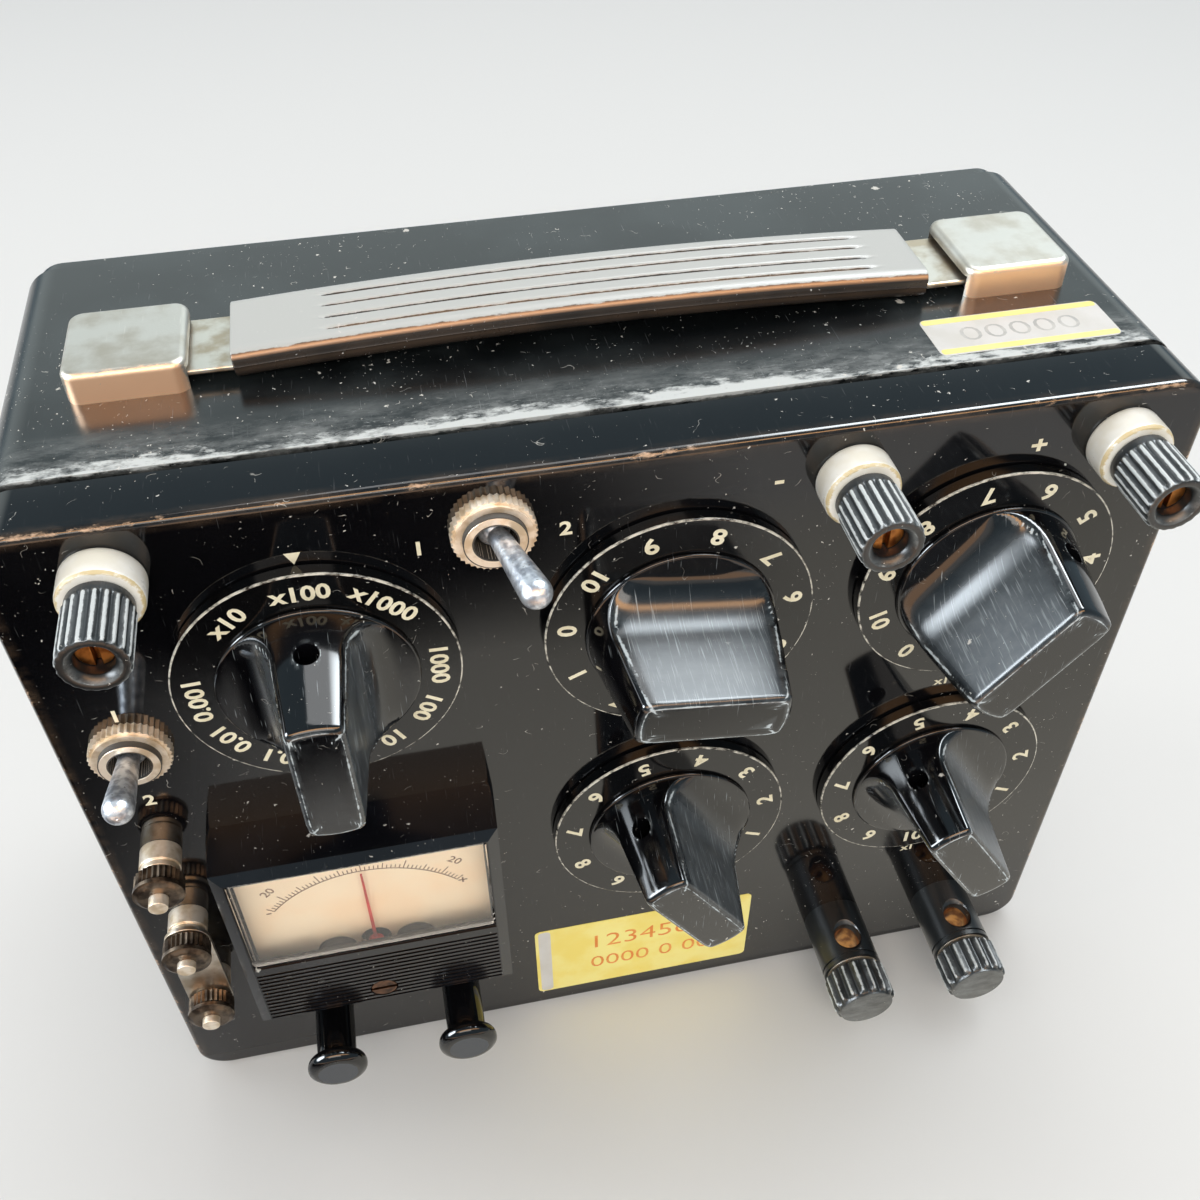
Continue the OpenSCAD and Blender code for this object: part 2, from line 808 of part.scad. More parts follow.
module meter_scale() {
  color("bisque") panel_space() translate([0, 0, scale_from]) linear_extrude(scale_t) difference() {
    translate([meter_x, meter_y + 5.8]) square([54.8, 43.6], center = true);
    translate(pivot_at) {
      circle(d = 7);
      for (s = [-1, 1]) translate([s * pillar_x, pillar_y]) circle(d = 5);
    }
  }
}

// Ring magnet with its core, two pillars with broad heads, and the bridge that holds the front pivot.
module meter_movement() {
  bridge_h = 9.95;
  leg_x = 5;
  leg_y = -8.2;
  color("dimgray") on_panel(pivot_at) {
    tube(33, 18, -22, -3);
    rod(18.5, -24, -22);
    rod(8, -18.5, -4.5);
    translate([0, 0, -11.5]) cube([2, 18.4, 14], center = true);
    for (s = [-1, 1]) {
      translate([s * pillar_x, pillar_y, 0]) {
        rod(4, -3.5, 8);
        rod(9, 7.1, 8.8);
      }
      translate([s * leg_x, leg_y, 0]) rod(3.4, -3.5, bridge_h + 0.6);
    }
    translate([0, leg_y, bridge_h]) cube([13.4, 3.4, 1.3], center = true);
    translate([0, -3.5, bridge_h]) cube([3, 10, 1.3], center = true);
  }
}

module meter_pointer() {
  coil_w = 12;
  coil_t = 1.6;
  pointer_at_h = 8;
  color("red") on_panel(pivot_at) {
    rod(3.6, 7.2, 8.9);
    rod(1.2, -2.6, 7.3);
    translate([0, pointer_l / 2, pointer_at_h]) cube([0.7, pointer_l, 0.5], center = true);
    translate([0, -3.5, pointer_at_h]) cube([1.6, 4, 0.8], center = true);
    translate([0, 0, -11.5]) difference() {
      cube([coil_w, 3, 17.8], center = true);
      cube([coil_w - 2 * coil_t, 5, 17.8 - 2 * coil_t], center = true);
    }
  }
}

module meter_zero_screw() {
  color("dimgray") on_panel(zero_screw_at) difference() {
    union() {
      rod(6, meter_h - 1.5, meter_h - 0.1);
      rod(3.1, meter_h - 6, meter_h - 1.45);
      translate([0, 0.9, 0]) rod(1, meter_h - 8.5, meter_h - 5.95);
    }
    translate([0, 0, meter_h]) cube([8, 1, 1.6], center = true);
  }
}

// Large posts
module post_collars() {
  color("ivory") at_each(posts_at) rotate_extrude() difference() {
    union() {
      translate([0, -panel_t]) square([post_shank_d / 2, panel_t + 1]);
      square([collar_d / 2, collar_h - 1]);
      square([collar_d / 2 - 1, collar_h]);
      translate([collar_d / 2 - 1, collar_h - 1]) circle(r = 1, $fn = 32);
    }
    translate([-1, -panel_t - 1]) square([3.6, 30]);
    translate([-1, 1]) square([4.3, 30]);
  }
}

stud_d = 6.5;

module post_studs() {
  stud_h = post_h - 3.4;
  color("goldenrod") at_each(posts_at) difference() {
    union() {
      rod(stud_d, 1, stud_h);
      rod(5, -12, 1 + eps);
      hex_nut(8, 3.2, 4.9, -panel_t - 0.05);
    }
    translate([0, 0, stud_h]) cube([1.1, stud_d + 1, 3.2], center = true);
  }
}

module post_cap() {
  color("black") difference() {
    translate([0, 0, collar_h + 0.1]) linear_extrude(post_h - collar_h - 0.1)
      fluted_outline(post_cap_d, 20, 0.6, 0.45);
    rod(stud_d + 2 * run_gap, 0, post_h + 1);
    translate([0, 0, post_h - 1.2]) cylinder(d1 = stud_d, d2 = stud_d + 2.4, h = 1.3);
  }
}

module g_post_cap() {
  on_panel(g_post_at) post_cap();
}

module minus_post_cap() {
  on_panel(minus_post_at) post_cap();
}

module plus_post_cap() {
  on_panel(plus_post_at) post_cap();
}

// Small terminals
base_h = 6.2;
strap_link_t = 1;

module clamp_bases() {
  color("silver") at_each(clamps_at) {
    rotate_extrude() {
      square([4.35, base_h - 1.6]);
      square([3.9, base_h - 1]);
      translate([0, base_h - 1.2]) square([4.2, 1.2]);
      translate([0, -10]) square([clamp_shank_d / 2, 24.5]);
    }
    hex_nut(7, 2.6, clamp_shank_d - eps, -panel_t - 0.05);
  }
}

module clamp_nut(from) {
  h = 5.6;
  color("silver") translate([0, 0, from]) difference() {
    union() {
      rod(nut_d - 1.6, 0, 0.6);
      translate([0, 0, 0.5]) linear_extrude(2.9) knurled_outline(nut_d, 28, 0.4);
      rod(nut_d - 1.4, 3.3, 3.9);
      rod(nut_d + 0.2, 3.8, 4.7);
      translate([0, 0, 4.7 - eps]) cylinder(d1 = nut_d + 0.2, d2 = nut_d - 2.6, h = h - 4.7);
    }
    rod(clamp_shank_d + 2 * run_gap, -1, h + 1);
  }
}

module clamp_nut_top() {
  on_panel(clamp_top_at) clamp_nut(base_h + 0.3);
}

module clamp_nut_middle() {
  on_panel(clamp_middle_at) clamp_nut(base_h + strap_link_t + 0.1);
}

module clamp_nut_bottom() {
  on_panel(clamp_bottom_at) clamp_nut(base_h + strap_link_t + 0.1);
}

module link_strap() {
  strap_r = 5;
  span = clamp_middle_at[1] - clamp_bottom_at[1];
  color("silver") on_panel(clamp_bottom_at) translate([0, 0, base_h]) linear_extrude(strap_link_t) difference() {
    union() {
      circle(r = strap_r);
      translate([0, span]) circle(r = strap_r);
      translate([0, span / 2]) square([2 * strap_r, span], center = true);
    }
    for (y = [0, span]) translate([0, y]) circle(d = clamp_shank_d + 0.4);
  }
}

// Resistance posts
core_d = 10;
rx_hole_h = 10.5;
rx_screw_d = 4;

module cross_hole() {
  translate([0, 0, rx_hole_h]) rotate([90, 0, 0]) {
    cylinder(d = rx_hole_d, h = rx_d + 2, center = true);
    for (s = [0, 180]) rotate([s, 0, 0]) translate([0, 0, rx_d / 2 - 1])
      cylinder(d1 = rx_hole_d, d2 = rx_hole_d + 4, h = 2);
  }
}

module rx_post_bodies() {
  color("black") at_each(rx_at) difference() {
    union() {
      rod(rx_d, 0, rx_body_h - 1.6);
      rod(rx_d - 1, rx_body_h - 1.7, rx_body_h - 1);
      rod(rx_d, rx_body_h - 1.1, rx_body_h);
    }
    rod(core_d, -1, rx_body_h + 1);
    cross_hole();
  }
}

module rx_post_cores() {
  color("goldenrod") at_each(rx_at) {
    difference() {
      rod(core_d, 0, rx_body_h - 0.2);
      cross_hole();
      rod(rx_screw_d + 2 * run_gap, rx_hole_h, rx_body_h + 1);
    }
    rod(rx_shank_d, -12, 0.2);
    hex_nut(10, 4, rx_shank_d - eps, -panel_t - 0.05);
  }
}

module rx_cap() {
  cap_from = rx_body_h + 1;
  color("black") {
    translate([0, 0, cap_from]) linear_extrude(rx_h - cap_from - 0.8)
      fluted_outline(rx_d + 1, 16, 1.1, 0.7);
    rod(rx_d - 0.6, rx_h - 0.85, rx_h);
  }
  color("goldenrod") rod(rx_screw_d, rx_hole_h + rx_hole_d / 2 + 0.2, cap_from + eps);
}

module rx_cap_left() {
  on_panel(rx_left_at) rx_cap();
}

module rx_cap_right() {
  on_panel(rx_right_at) rx_cap();
}

// Batteries
cell_d = 33;
cell_l = 60;
cells = 3;
box_t = 2;
box_l = cells * (cell_l + 1.6) + 2 * box_t + 2;
box_h = 38;
box_front = -50.5;
box_back = case_back + back_wall + 0.3;
cell_z = box_back + cell_d / 2 + 0.6;
cell_y = wall + box_t + cell_d / 2 + 0.5;

module battery_box() {
  color("dimgray") panel_space() difference() {
    translate([-box_l / 2, wall, box_back]) cube([box_l, box_h, box_front - box_back]);
    translate([-box_l / 2 + box_t, wall + box_t, box_back - 1])
      cube([box_l - 2 * box_t, box_h - 2 * box_t, box_front - box_back - box_t + 1]);
  }
}

module batteries() {
  color("steelblue") panel_space() for (i = [0 : cells - 1])
    translate([(i - (cells - 1) / 2) * (cell_l + 1.6), cell_y, cell_z]) rotate([0, 90, 0]) {
      cylinder(d = cell_d, h = cell_l, center = true);
      translate([0, 0, cell_l / 2 - eps]) cylinder(d = 9.5, h = 1.5);
    }
}

front_panel();
rear_case();
rear_cover();
case_screws();
rear_feet();
handle_grip();
handle_strap();
handle_anchors();
handle_caps();
multiply_dial();
multiply_knob();
multiply_spindle();
x1000_dial();
x1000_knob();
x1000_spindle();
x100_dial();
x100_knob();
x100_spindle();
x10_dial();
x10_knob();
x10_spindle();
x1_dial();
x1_knob();
x1_spindle();
multiply_switch();
decade_switches();
resistor_board();
resistor_bobbins();
battery_toggle_lever();
range_toggle_lever();
toggle_bodies();
toggle_nuts();
battery_button();
galvo_button();
button_guides();
battery_button_spring();
galvo_button_spring();
key_contacts();
meter_case();
meter_window();
meter_scale();
meter_pointer();
meter_movement();
meter_zero_screw();
post_collars();
post_studs();
g_post_cap();
minus_post_cap();
plus_post_cap();
clamp_bases();
clamp_nut_top();
clamp_nut_middle();
clamp_nut_bottom();
link_strap();
rx_post_bodies();
rx_post_cores();
rx_cap_left();
rx_cap_right();
battery_box();
batteries();
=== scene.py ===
# %% [markdown]
# # A portable Wheatstone bridge
# The real object is a moulded black box with a panel of five dials, a small galvanometer, two toggle
# switches, two press keys and three kinds of terminals. Its working shape is already fixed by the
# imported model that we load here. In this lesson we give every piece its final surface and finish.
# %% The frame
import json
import math

import bmesh
import bpy
import numpy as np
from mathutils import Matrix, Vector

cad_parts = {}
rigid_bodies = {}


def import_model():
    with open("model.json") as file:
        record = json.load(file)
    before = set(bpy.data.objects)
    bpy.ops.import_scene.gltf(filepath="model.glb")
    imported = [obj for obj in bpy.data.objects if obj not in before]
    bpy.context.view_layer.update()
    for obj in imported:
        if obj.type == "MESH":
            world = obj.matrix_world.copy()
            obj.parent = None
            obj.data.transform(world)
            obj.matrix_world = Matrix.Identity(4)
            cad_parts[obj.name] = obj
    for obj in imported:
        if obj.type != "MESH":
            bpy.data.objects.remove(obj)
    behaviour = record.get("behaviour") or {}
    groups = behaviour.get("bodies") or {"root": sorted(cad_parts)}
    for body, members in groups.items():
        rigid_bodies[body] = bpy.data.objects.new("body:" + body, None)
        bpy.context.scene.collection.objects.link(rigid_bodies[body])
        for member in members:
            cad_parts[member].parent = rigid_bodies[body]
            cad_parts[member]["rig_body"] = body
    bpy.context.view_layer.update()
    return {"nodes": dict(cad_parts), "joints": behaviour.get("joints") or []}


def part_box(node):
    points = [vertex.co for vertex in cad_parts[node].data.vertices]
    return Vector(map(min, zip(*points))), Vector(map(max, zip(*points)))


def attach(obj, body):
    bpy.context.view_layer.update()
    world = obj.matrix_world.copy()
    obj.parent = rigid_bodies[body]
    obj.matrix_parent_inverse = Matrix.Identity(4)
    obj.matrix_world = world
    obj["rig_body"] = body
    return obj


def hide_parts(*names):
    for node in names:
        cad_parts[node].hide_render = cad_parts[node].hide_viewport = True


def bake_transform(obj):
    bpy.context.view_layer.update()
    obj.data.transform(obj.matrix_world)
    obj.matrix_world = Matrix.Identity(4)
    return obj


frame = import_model()
nodes = frame["nodes"]

# %% [markdown]
# ## Working in panel millimetres
# Nearly everything sits on the panel, so we think in its terms: x across, y up, h out of the panel, all
# in millimetres. One function turns such points into the frame's metres. The panel's own plane is read
# from the frame and isn't typed in.
# %% Panel coordinates
MM = 0.001
PANEL_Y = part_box("front_panel")[0].y


def to_frame(points):
    """Point (x, y, h) in panel millimetres goes to (x, panel - h, y) in metres."""
    x, y, h = np.moveaxis(np.asarray(points, float), -1, 0)
    return np.stack([x * MM, PANEL_Y - h * MM, y * MM], -1)


print("panel plane at", round(PANEL_Y, 5))

# %% [markdown]
# ## Surfaces on a grid
# A shape here is a grid of points: rows run along it, columns run round it. `skin` only has to number
# the corners of the squares, which whole arrays do at once. Poles are rows whose points coincide, and
# they are merged later, so every skin ends up closed.
# %% Skins
def skin(rows, loop=False, **paint):
    """Square (i, j) has the corners (i, j), (i, j+1), (i+1, j+1) and (i+1, j), with j closing round.

    The end rows get flat faces, or with `loop` the last row runs into the first. `paint` holds shares
    from 0 to 1 for the points, which a finish can read as attributes.
    """
    rows = np.asarray(rows, float)
    n, m = rows.shape[:2]
    i, j = np.meshgrid(np.arange(n if loop else n - 1), np.arange(m), indexing="ij")
    a, b = i * m + j, i * m + (j + 1) % m
    corners = np.stack([a, b, (b + m) % (n * m), (a + m) % (n * m)], -1)
    faces = corners.reshape(-1, 4).tolist()
    if not loop:
        faces += [list(range(m)), list(range((n - 1) * m, n * m))]
    shares = {key: np.broadcast_to(value, (n, m)).ravel() for key, value in paint.items()}
    return rows.reshape(-1, 3), faces, shares


def gather(skins):
    """Joined points, faces and paint of several skins; a skin without some paint gets 0 there."""
    starts = np.cumsum([0] + [len(s[0]) for s in skins])
    points = np.vstack([s[0] for s in skins])
    faces = [[k + start for k in face] for s, start in zip(skins, starts.tolist()) for face in s[1]]
    keys = {key for s in skins for key in s[2]}
    paint = {key: np.concatenate([s[2].get(key, np.zeros(len(s[0]))) for s in skins]) for key in keys}
    return points, faces, paint


print("a skin of 3 rows and 4 columns has", len(skin(np.zeros((3, 4, 3)))[1]), "faces")

# %% [markdown]
# ## From skins to a piece
# Doubles are merged first and the normals are recalculated after that, so all faces point outwards.
# Edges sharper than a limit stay sharp, and a Weighted Normal modifier keeps broad flats truly flat
# next to their small roundings, which matters on glossy black plastic.
# %% Pieces
MERGE = 1e-6
SHARP = 35


def linked(name, data):
    """A new object with this data, in the scene."""
    thing = bpy.data.objects.new(name, data)
    bpy.context.scene.collection.objects.link(thing)
    return thing


def settle(mesh, sharp):
    """Merge doubles, point the faces outwards, smooth all but the edges over `sharp` degrees."""
    bm = bmesh.new()
    bm.from_mesh(mesh)
    bmesh.ops.remove_doubles(bm, verts=bm.verts, dist=MERGE)
    bmesh.ops.recalc_face_normals(bm, faces=bm.faces)
    bm.to_mesh(mesh)
    bm.free()
    mesh.shade_smooth()
    mesh.set_sharp_from_angle(angle=math.radians(sharp))


def present(name, mesh, finish, body, replaces, bevel=0):
    """Make the object, give it its finish and modifiers, and let it ride on its body."""
    thing = linked(name, mesh)
    mesh.materials.clear()
    mesh.materials.append(finish)
    if bevel:
        rounding = thing.modifiers.new("edges", "BEVEL")
        rounding.width = bevel * MM
        rounding.segments = 2
        rounding.limit_method = "ANGLE"
        rounding.angle_limit = math.radians(SHARP)
        rounding.harden_normals = False
    thing.modifiers.new("flats", "WEIGHTED_NORMAL").keep_sharp = True
    if replaces:
        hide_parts(*replaces)
    if body:
        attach(thing, body)
    print(f"{name}: {len(mesh.vertices)} points, {len(mesh.polygons)} faces")
    return thing


def piece(name, skins, finish, body, replaces=(), sharp=SHARP):
    """A new piece from skins in panel millimetres."""
    points, faces, paint = gather(skins)
    mesh = bpy.data.meshes.new(name)
    mesh.from_pydata(to_frame(points), [], faces)
    for key, shares in paint.items():
        mesh.attributes.new(key, "FLOAT", "POINT").data.foreach_set("value", shares.astype(np.float32))
    settle(mesh, sharp)
    return present(name, mesh, finish, body, replaces)


NODE_SHARP = 30
FLAT_WITHIN = 0.4


def dressed(node, finish, bevel=0):
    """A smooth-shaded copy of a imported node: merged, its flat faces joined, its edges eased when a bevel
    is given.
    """
    mesh = nodes[node].data.copy()
    bm = bmesh.new()
    bm.from_mesh(mesh)
    bmesh.ops.remove_doubles(bm, verts=bm.verts, dist=2 * MERGE)
    bmesh.ops.dissolve_limit(bm, angle_limit=math.radians(FLAT_WITHIN), verts=bm.verts, edges=bm.edges)
    bm.to_mesh(mesh)
    bm.free()
    mesh.shade_smooth()
    mesh.set_sharp_from_angle(angle=math.radians(NODE_SHARP))
    return present(node + "_shell", mesh, finish, nodes[node]["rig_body"], [node], bevel)


# %% [markdown]
# ## Outlines
# A turned part is a profile carried round an axis; a plate is a profile of insets carried round a
# rectangle with round corners. Real corners are never quite sharp, so `eased` replaces each corner of
# a profile by a short quadratic curve.
# %% Profiles
def eased(corners, cut, steps=3):
    """Each inner corner c becomes the curve (1-t)^2 a + 2 t (1-t) c + t^2 b, where a and b lie `cut`
    before and after it on the profile."""
    c = np.asarray(corners, float)
    before, after = c[:-2] - c[1:-1], c[2:] - c[1:-1]
    to_a, to_b = np.linalg.norm(before[:, :2], axis=1), np.linalg.norm(after[:, :2], axis=1)
    reach = np.minimum(cut, 0.48 * np.minimum(to_a, to_b))
    a = c[1:-1] + before * (reach / to_a)[:, None]
    b = c[1:-1] + after * (reach / to_b)[:, None]
    t = np.linspace(0, 1, steps + 1)[None, :, None]
    curves = (1 - t) ** 2 * a[:, None] + 2 * t * (1 - t) * c[1:-1, None] + t ** 2 * b[:, None]
    return np.vstack([c[:1], curves.reshape(-1, c.shape[1]), c[-1:]])


def full_turn(steps):
    """Angles once round, without the last that repeats the first."""
    return np.linspace(0, 2 * np.pi, steps, endpoint=False)


def turned(profile, at=(0, 0), columns=72, wave=None):
    """Point (r - depth * wave(a)) from the axis at angle a; a profile row is (r, h) or (r, h, depth)."""
    profile = np.asarray(profile, float)
    a = full_turn(columns)[None]
    radius = profile[:, :1] + 0 * a
    if wave is not None:
        radius = radius - profile[:, 2:3] * wave(a)
    height = profile[:, 1:2] + 0 * a
    return np.stack([at[0] + radius * np.cos(a), at[1] + radius * np.sin(a), height], -1)


def rounded(w, h, r, steps=6):
    """Points of a rectangle with corners of radius r, and the outward direction at each."""
    quarter = np.linspace(0, np.pi / 2, steps + 1)
    a = np.concatenate([quarter + k * np.pi / 2 for k in range(4)])
    out = np.stack([np.cos(a), np.sin(a)], -1)
    sides = np.array([[1, 1], [-1, 1], [-1, -1], [1, -1]])
    return np.repeat(sides, steps + 1, axis=0) * [w / 2 - r, h / 2 - r] + out * r, out


def plate(w, h, r, profile, at=(0, 0)):
    """The profile's (inset, height) carried round the rectangle: point p - inset * outward."""
    points, out = rounded(w, h, r)
    inset, height = np.asarray(profile, float).T[:2]
    flat = points[None] - inset[:, None, None] * out[None] + np.asarray(at, float)
    return np.dstack([flat, np.broadcast_to(height[:, None, None], flat.shape[:2] + (1,))])


print("an eased square corner has", len(eased([[0, 0], [1, 0], [1, 1]], 0.2)), "points")

# %% [markdown]
# ## Finishes
# Old instruments share a few habits: black plastic with fine scratches, pale dust and small fibres,
# corners rubbed light by hands, and plated metal with brown bloom. One function builds such an aged
# finish, and each material below says what it is made of and feeds it real sizes in millimetres.
# %% Colour and nodes
def paint_colour(text):
    """Hex text in sRGB to the linear colour that shaders use."""
    c = np.array([int(text[k:k + 2], 16) for k in (0, 2, 4)]) / 255
    linear = np.where(c <= 0.04045, c / 12.92, ((c + 0.055) / 1.055) ** 2.4)
    return (*linear.tolist(), 1.0)


def add(tree, kind, inputs=None, **settings):
    """Add a node, set its properties, and give its sockets values or links."""
    node = tree.nodes.new(kind)
    for key, value in settings.items():
        setattr(node, key, value)
    for key, value in (inputs or {}).items():
        if isinstance(value, bpy.types.NodeSocket):
            tree.links.new(value, node.inputs[key])
        else:
            node.inputs[key].default_value = value
    return node


def blank(name):
    """A new material and its node tree, still empty."""
    material = bpy.data.materials.new(name)
    material.use_nodes = True
    material.node_tree.nodes.clear()
    return material, material.node_tree


X_AXIS, Y_AXIS, Z_AXIS = 0, 1, 2


def per(mm):
    """Texture scale at which one feature is `mm` millimetres wide."""
    return 1 / (mm * MM)


print("mid grey 808080 is", round(paint_colour("808080")[0], 3), "in linear light")


# %% [markdown]
# The layers go on in the order in which they came to the real thing. First the colour with its slow
# variation, and a layer of its own gloss where fingers dulled the polish. Its tint is painted sheen:
# the sky's blue-grey on the knobs' flanks, and a copper highlight on the grip's front edge. Then scratches,
# then what hands rubbed off, then dust and fibres on top. On some pieces that rubbed-off layer carries
# painted light: a tan highlight on the panel's lip, copper reflections on the caps' fronts, a warm
# reflection on the collars' rims, and sky reflection with dust on the grip's top. On the edges of knobs
# and dials it is highlight together with real rubbing. It follows a painted attribute, and `edges`, which
# are pairs of planes: it is strong where a point is near both. Scratches are a noise that is fine one way
# and long the other two. A fibre is a thin contour line of a slow noise, broken up by another. A dust
# speck is the middle of a ragged Voronoi cell, and each cell has its own size.
# %% The aged finish
# where noise turns to a scratch, and for three ways of scratching the turn and the width in mm
SCRATCH_FROM = 0.74
SCRATCH_WAYS = (((0.3, 0.7, 0.4), 0.25), ((1.1, -0.6, 0.9), 0.35), ((-0.5, 1.2, 2.0), 0.3))
# cell size in mm and rarity of large grains, and how far the cells' edges wander in mm
DUST_CELLS = ((0.8, 5.0), (1.7, 6.0), (4.4, 14.0))
RAGGED = 1.6


def aged(name, colour, roughness, metallic=0.0, second=None, patch=18, scratch=0.0, scratch_hex="8f9092",
         wear_and_highlight_hex=None, wear_and_highlight_rough=0.55, wear_and_highlight_reach=0.5, edges=(), haze=0.0, dust=0.0, dust_hex="d9d6cd",
         fibre=0.0, grain=0.0, grain_mm=0.4, film=0.0, painted_sheen_hex=None, ior=1.5):
    """A finish in layers: colour, a dull layer tinted with painted sheen, scratches, rubbing that also
    carries painted highlights, dust and fibres. Each covers the one before by its mask, in colour and in
    roughness."""
    material, tree = blank(name)
    place = add(tree, "ShaderNodeTexCoord").outputs["Object"]
    cloud = add(tree, "ShaderNodeTexNoise", {"Vector": place, "Scale": per(patch), "Detail": 5.0})
    share = add(tree, "ShaderNodeMapRange", {"Value": cloud.outputs["Fac"], "From Min": 0.38,
                                             "From Max": 0.66}, interpolation_type="SMOOTHSTEP")
    tint = add(tree, "ShaderNodeMix", {0: share.outputs[0], 6: paint_colour(colour),
                                       7: paint_colour(second or colour)}, data_type="RGBA").outputs[2]
    rough = add(tree, "ShaderNodeMapRange", {"Value": cloud.outputs["Fac"], "To Min": roughness * 0.8,
                                             "To Max": roughness * 1.25}).outputs[0]

    scratch_from = SCRATCH_FROM
    # the dull layer: its roughness is real handling, and its tint is painted sheen
    if film:
        film_and_sheen_share = add(tree, "ShaderNodeAttribute", attribute_name="film").outputs["Fac"]
        rough = add(tree, "ShaderNodeMix", {0: film_and_sheen_share, 2: rough, 3: film}).outputs[0]
        scratch_from = add(tree, "ShaderNodeMath", {0: film_and_sheen_share, 1: -0.1, 2: SCRATCH_FROM},
                           operation="MULTIPLY_ADD").outputs[0]
        if painted_sheen_hex:
            tint = add(tree, "ShaderNodeMix", {0: film_and_sheen_share, 6: tint, 7: paint_colour(painted_sheen_hex)},
                       data_type="RGBA").outputs[2]

    def cover(tint, rough, mask, hex_text, mask_rough):
        """Lay a colour and a roughness over what is there, where the mask is 1."""
        over = add(tree, "ShaderNodeMix", {0: mask, 6: tint, 7: paint_colour(hex_text)}, data_type="RGBA")
        matte = add(tree, "ShaderNodeMix", {0: mask, 2: rough, 3: mask_rough})
        return over.outputs[2], matte.outputs[0]

    if scratch:
        for turn, width in SCRATCH_WAYS:
            lines = add(tree, "ShaderNodeMapping", {"Vector": place, "Rotation": turn,
                                                    "Scale": (1.0, 0.04, 0.04)})
            streak = add(tree, "ShaderNodeTexNoise", {"Vector": lines.outputs[0], "Scale": per(width),
                                                      "Detail": 1.0})
            cut = add(tree, "ShaderNodeMapRange", {"Value": streak.outputs["Fac"], "From Max": 0.84,
                                                   "From Min": scratch_from, "To Max": scratch})
            tint, rough = cover(tint, rough, cut.outputs[0], scratch_hex, 0.5)
    # the rubbing layer: real wear on the case, posts and keys; painted highlight and reflection on the
    # panel's lip, the caps' fronts, the collars' rims and the grip's top; both together on knob and dial
    # edges
    if wear_and_highlight_hex:
        wear_and_highlight_mask = add(tree, "ShaderNodeAttribute", attribute_name="wear").outputs["Fac"]
        if edges:
            axes = add(tree, "ShaderNodeSeparateXYZ", {"Vector": place}).outputs
            slow = add(tree, "ShaderNodeMath", {0: cloud.outputs["Fac"], 1: 0.5},
                       operation="ADD").outputs[0]
        for pair in edges:
            near = []
            for axis, at, reach in pair:
                size = axes[axis]
                if axis == X_AXIS:
                    size = add(tree, "ShaderNodeMath", {0: size}, operation="ABSOLUTE").outputs[0]
                gap = add(tree, "ShaderNodeMath", {0: size, 1: at * MM}, operation="SUBTRACT").outputs[0]
                away = add(tree, "ShaderNodeMath", {0: gap}, operation="ABSOLUTE").outputs[0]
                near.append(add(tree, "ShaderNodeMapRange", {"Value": away, "From Max": reach * MM,
                                                             "To Min": 1.0, "To Max": 0.0}).outputs[0])
            both = add(tree, "ShaderNodeMath", {0: near[0], 1: near[1]}, operation="MULTIPLY").outputs[0]
            both = add(tree, "ShaderNodeMath", {0: both, 1: slow}, operation="MULTIPLY").outputs[0]
            wear_and_highlight_mask = add(tree, "ShaderNodeMath", {0: wear_and_highlight_mask, 1: both}, operation="MAXIMUM").outputs[0]
        smear = add(tree, "ShaderNodeMapping", {"Vector": place, "Scale": (0.4, 1.0, 1.0)})
        if haze:
            streaks = add(tree, "ShaderNodeTexNoise", {"Vector": smear.outputs[0], "Scale": per(4),
                                                       "Detail": 8.0, "Roughness": 0.75})
            thick = add(tree, "ShaderNodeMapRange", {"Value": streaks.outputs["Fac"], "From Min": 0.4,
                                                     "From Max": 0.75, "To Max": haze})
            veil = add(tree, "ShaderNodeMath", {0: wear_and_highlight_mask, 1: thick.outputs[0]}, operation="MULTIPLY")
            tint, rough = cover(tint, rough, veil.outputs[0], wear_and_highlight_hex, 0.65)
        bite = add(tree, "ShaderNodeTexNoise", {"Vector": smear.outputs[0], "Scale": per(1.6), "Detail": 6.0,
                                                "Roughness": 0.7})
        sum_of = add(tree, "ShaderNodeMath", {0: wear_and_highlight_mask, 1: bite.outputs["Fac"]}, operation="ADD")
        gone = add(tree, "ShaderNodeMapRange", {"Value": sum_of.outputs[0], "From Min": 1.6 - wear_and_highlight_reach,
                                                "From Max": 1.75 - wear_and_highlight_reach})
        on_edge = add(tree, "ShaderNodeMapRange", {"Value": wear_and_highlight_mask, "From Min": 0.02, "From Max": 0.12})
        wear_and_highlight_cover = add(tree, "ShaderNodeMath", {0: gone.outputs[0], 1: on_edge.outputs[0]},
                       operation="MULTIPLY").outputs[0]
        tint, rough = cover(tint, rough, wear_and_highlight_cover, wear_and_highlight_hex, wear_and_highlight_rough)
    if dust:
        drift = add(tree, "ShaderNodeTexNoise", {"Vector": place, "Scale": per(30), "Detail": 2.0})
        much = add(tree, "ShaderNodeMapRange", {"Value": drift.outputs["Fac"], "From Min": 0.3,
                                                "From Max": 0.7, "To Min": 0.08 * dust,
                                                "To Max": 0.24 * dust}).outputs[0]
        wobble = add(tree, "ShaderNodeTexNoise", {"Vector": place, "Scale": per(0.7), "Detail": 3.0})
        ragged = add(tree, "ShaderNodeVectorMath", {0: wobble.outputs["Color"], 1: (RAGGED * MM,) * 3,
                                                    2: place}, operation="MULTIPLY_ADD").outputs[0]
        for cell, rare in DUST_CELLS:
            grains = add(tree, "ShaderNodeTexVoronoi", {"Vector": ragged, "Scale": per(cell)})
            lot = add(tree, "ShaderNodeSeparateColor", {"Color": grains.outputs["Color"]})
            size = add(tree, "ShaderNodeMath", {0: lot.outputs[0], 1: rare}, operation="POWER").outputs[0]
            gap = add(tree, "ShaderNodeMath", {0: size, 1: much, 2: -0.02},
                      operation="MULTIPLY_ADD").outputs[0]
            left = add(tree, "ShaderNodeMath", {0: gap, 1: grains.outputs["Distance"]},
                       operation="SUBTRACT").outputs[0]
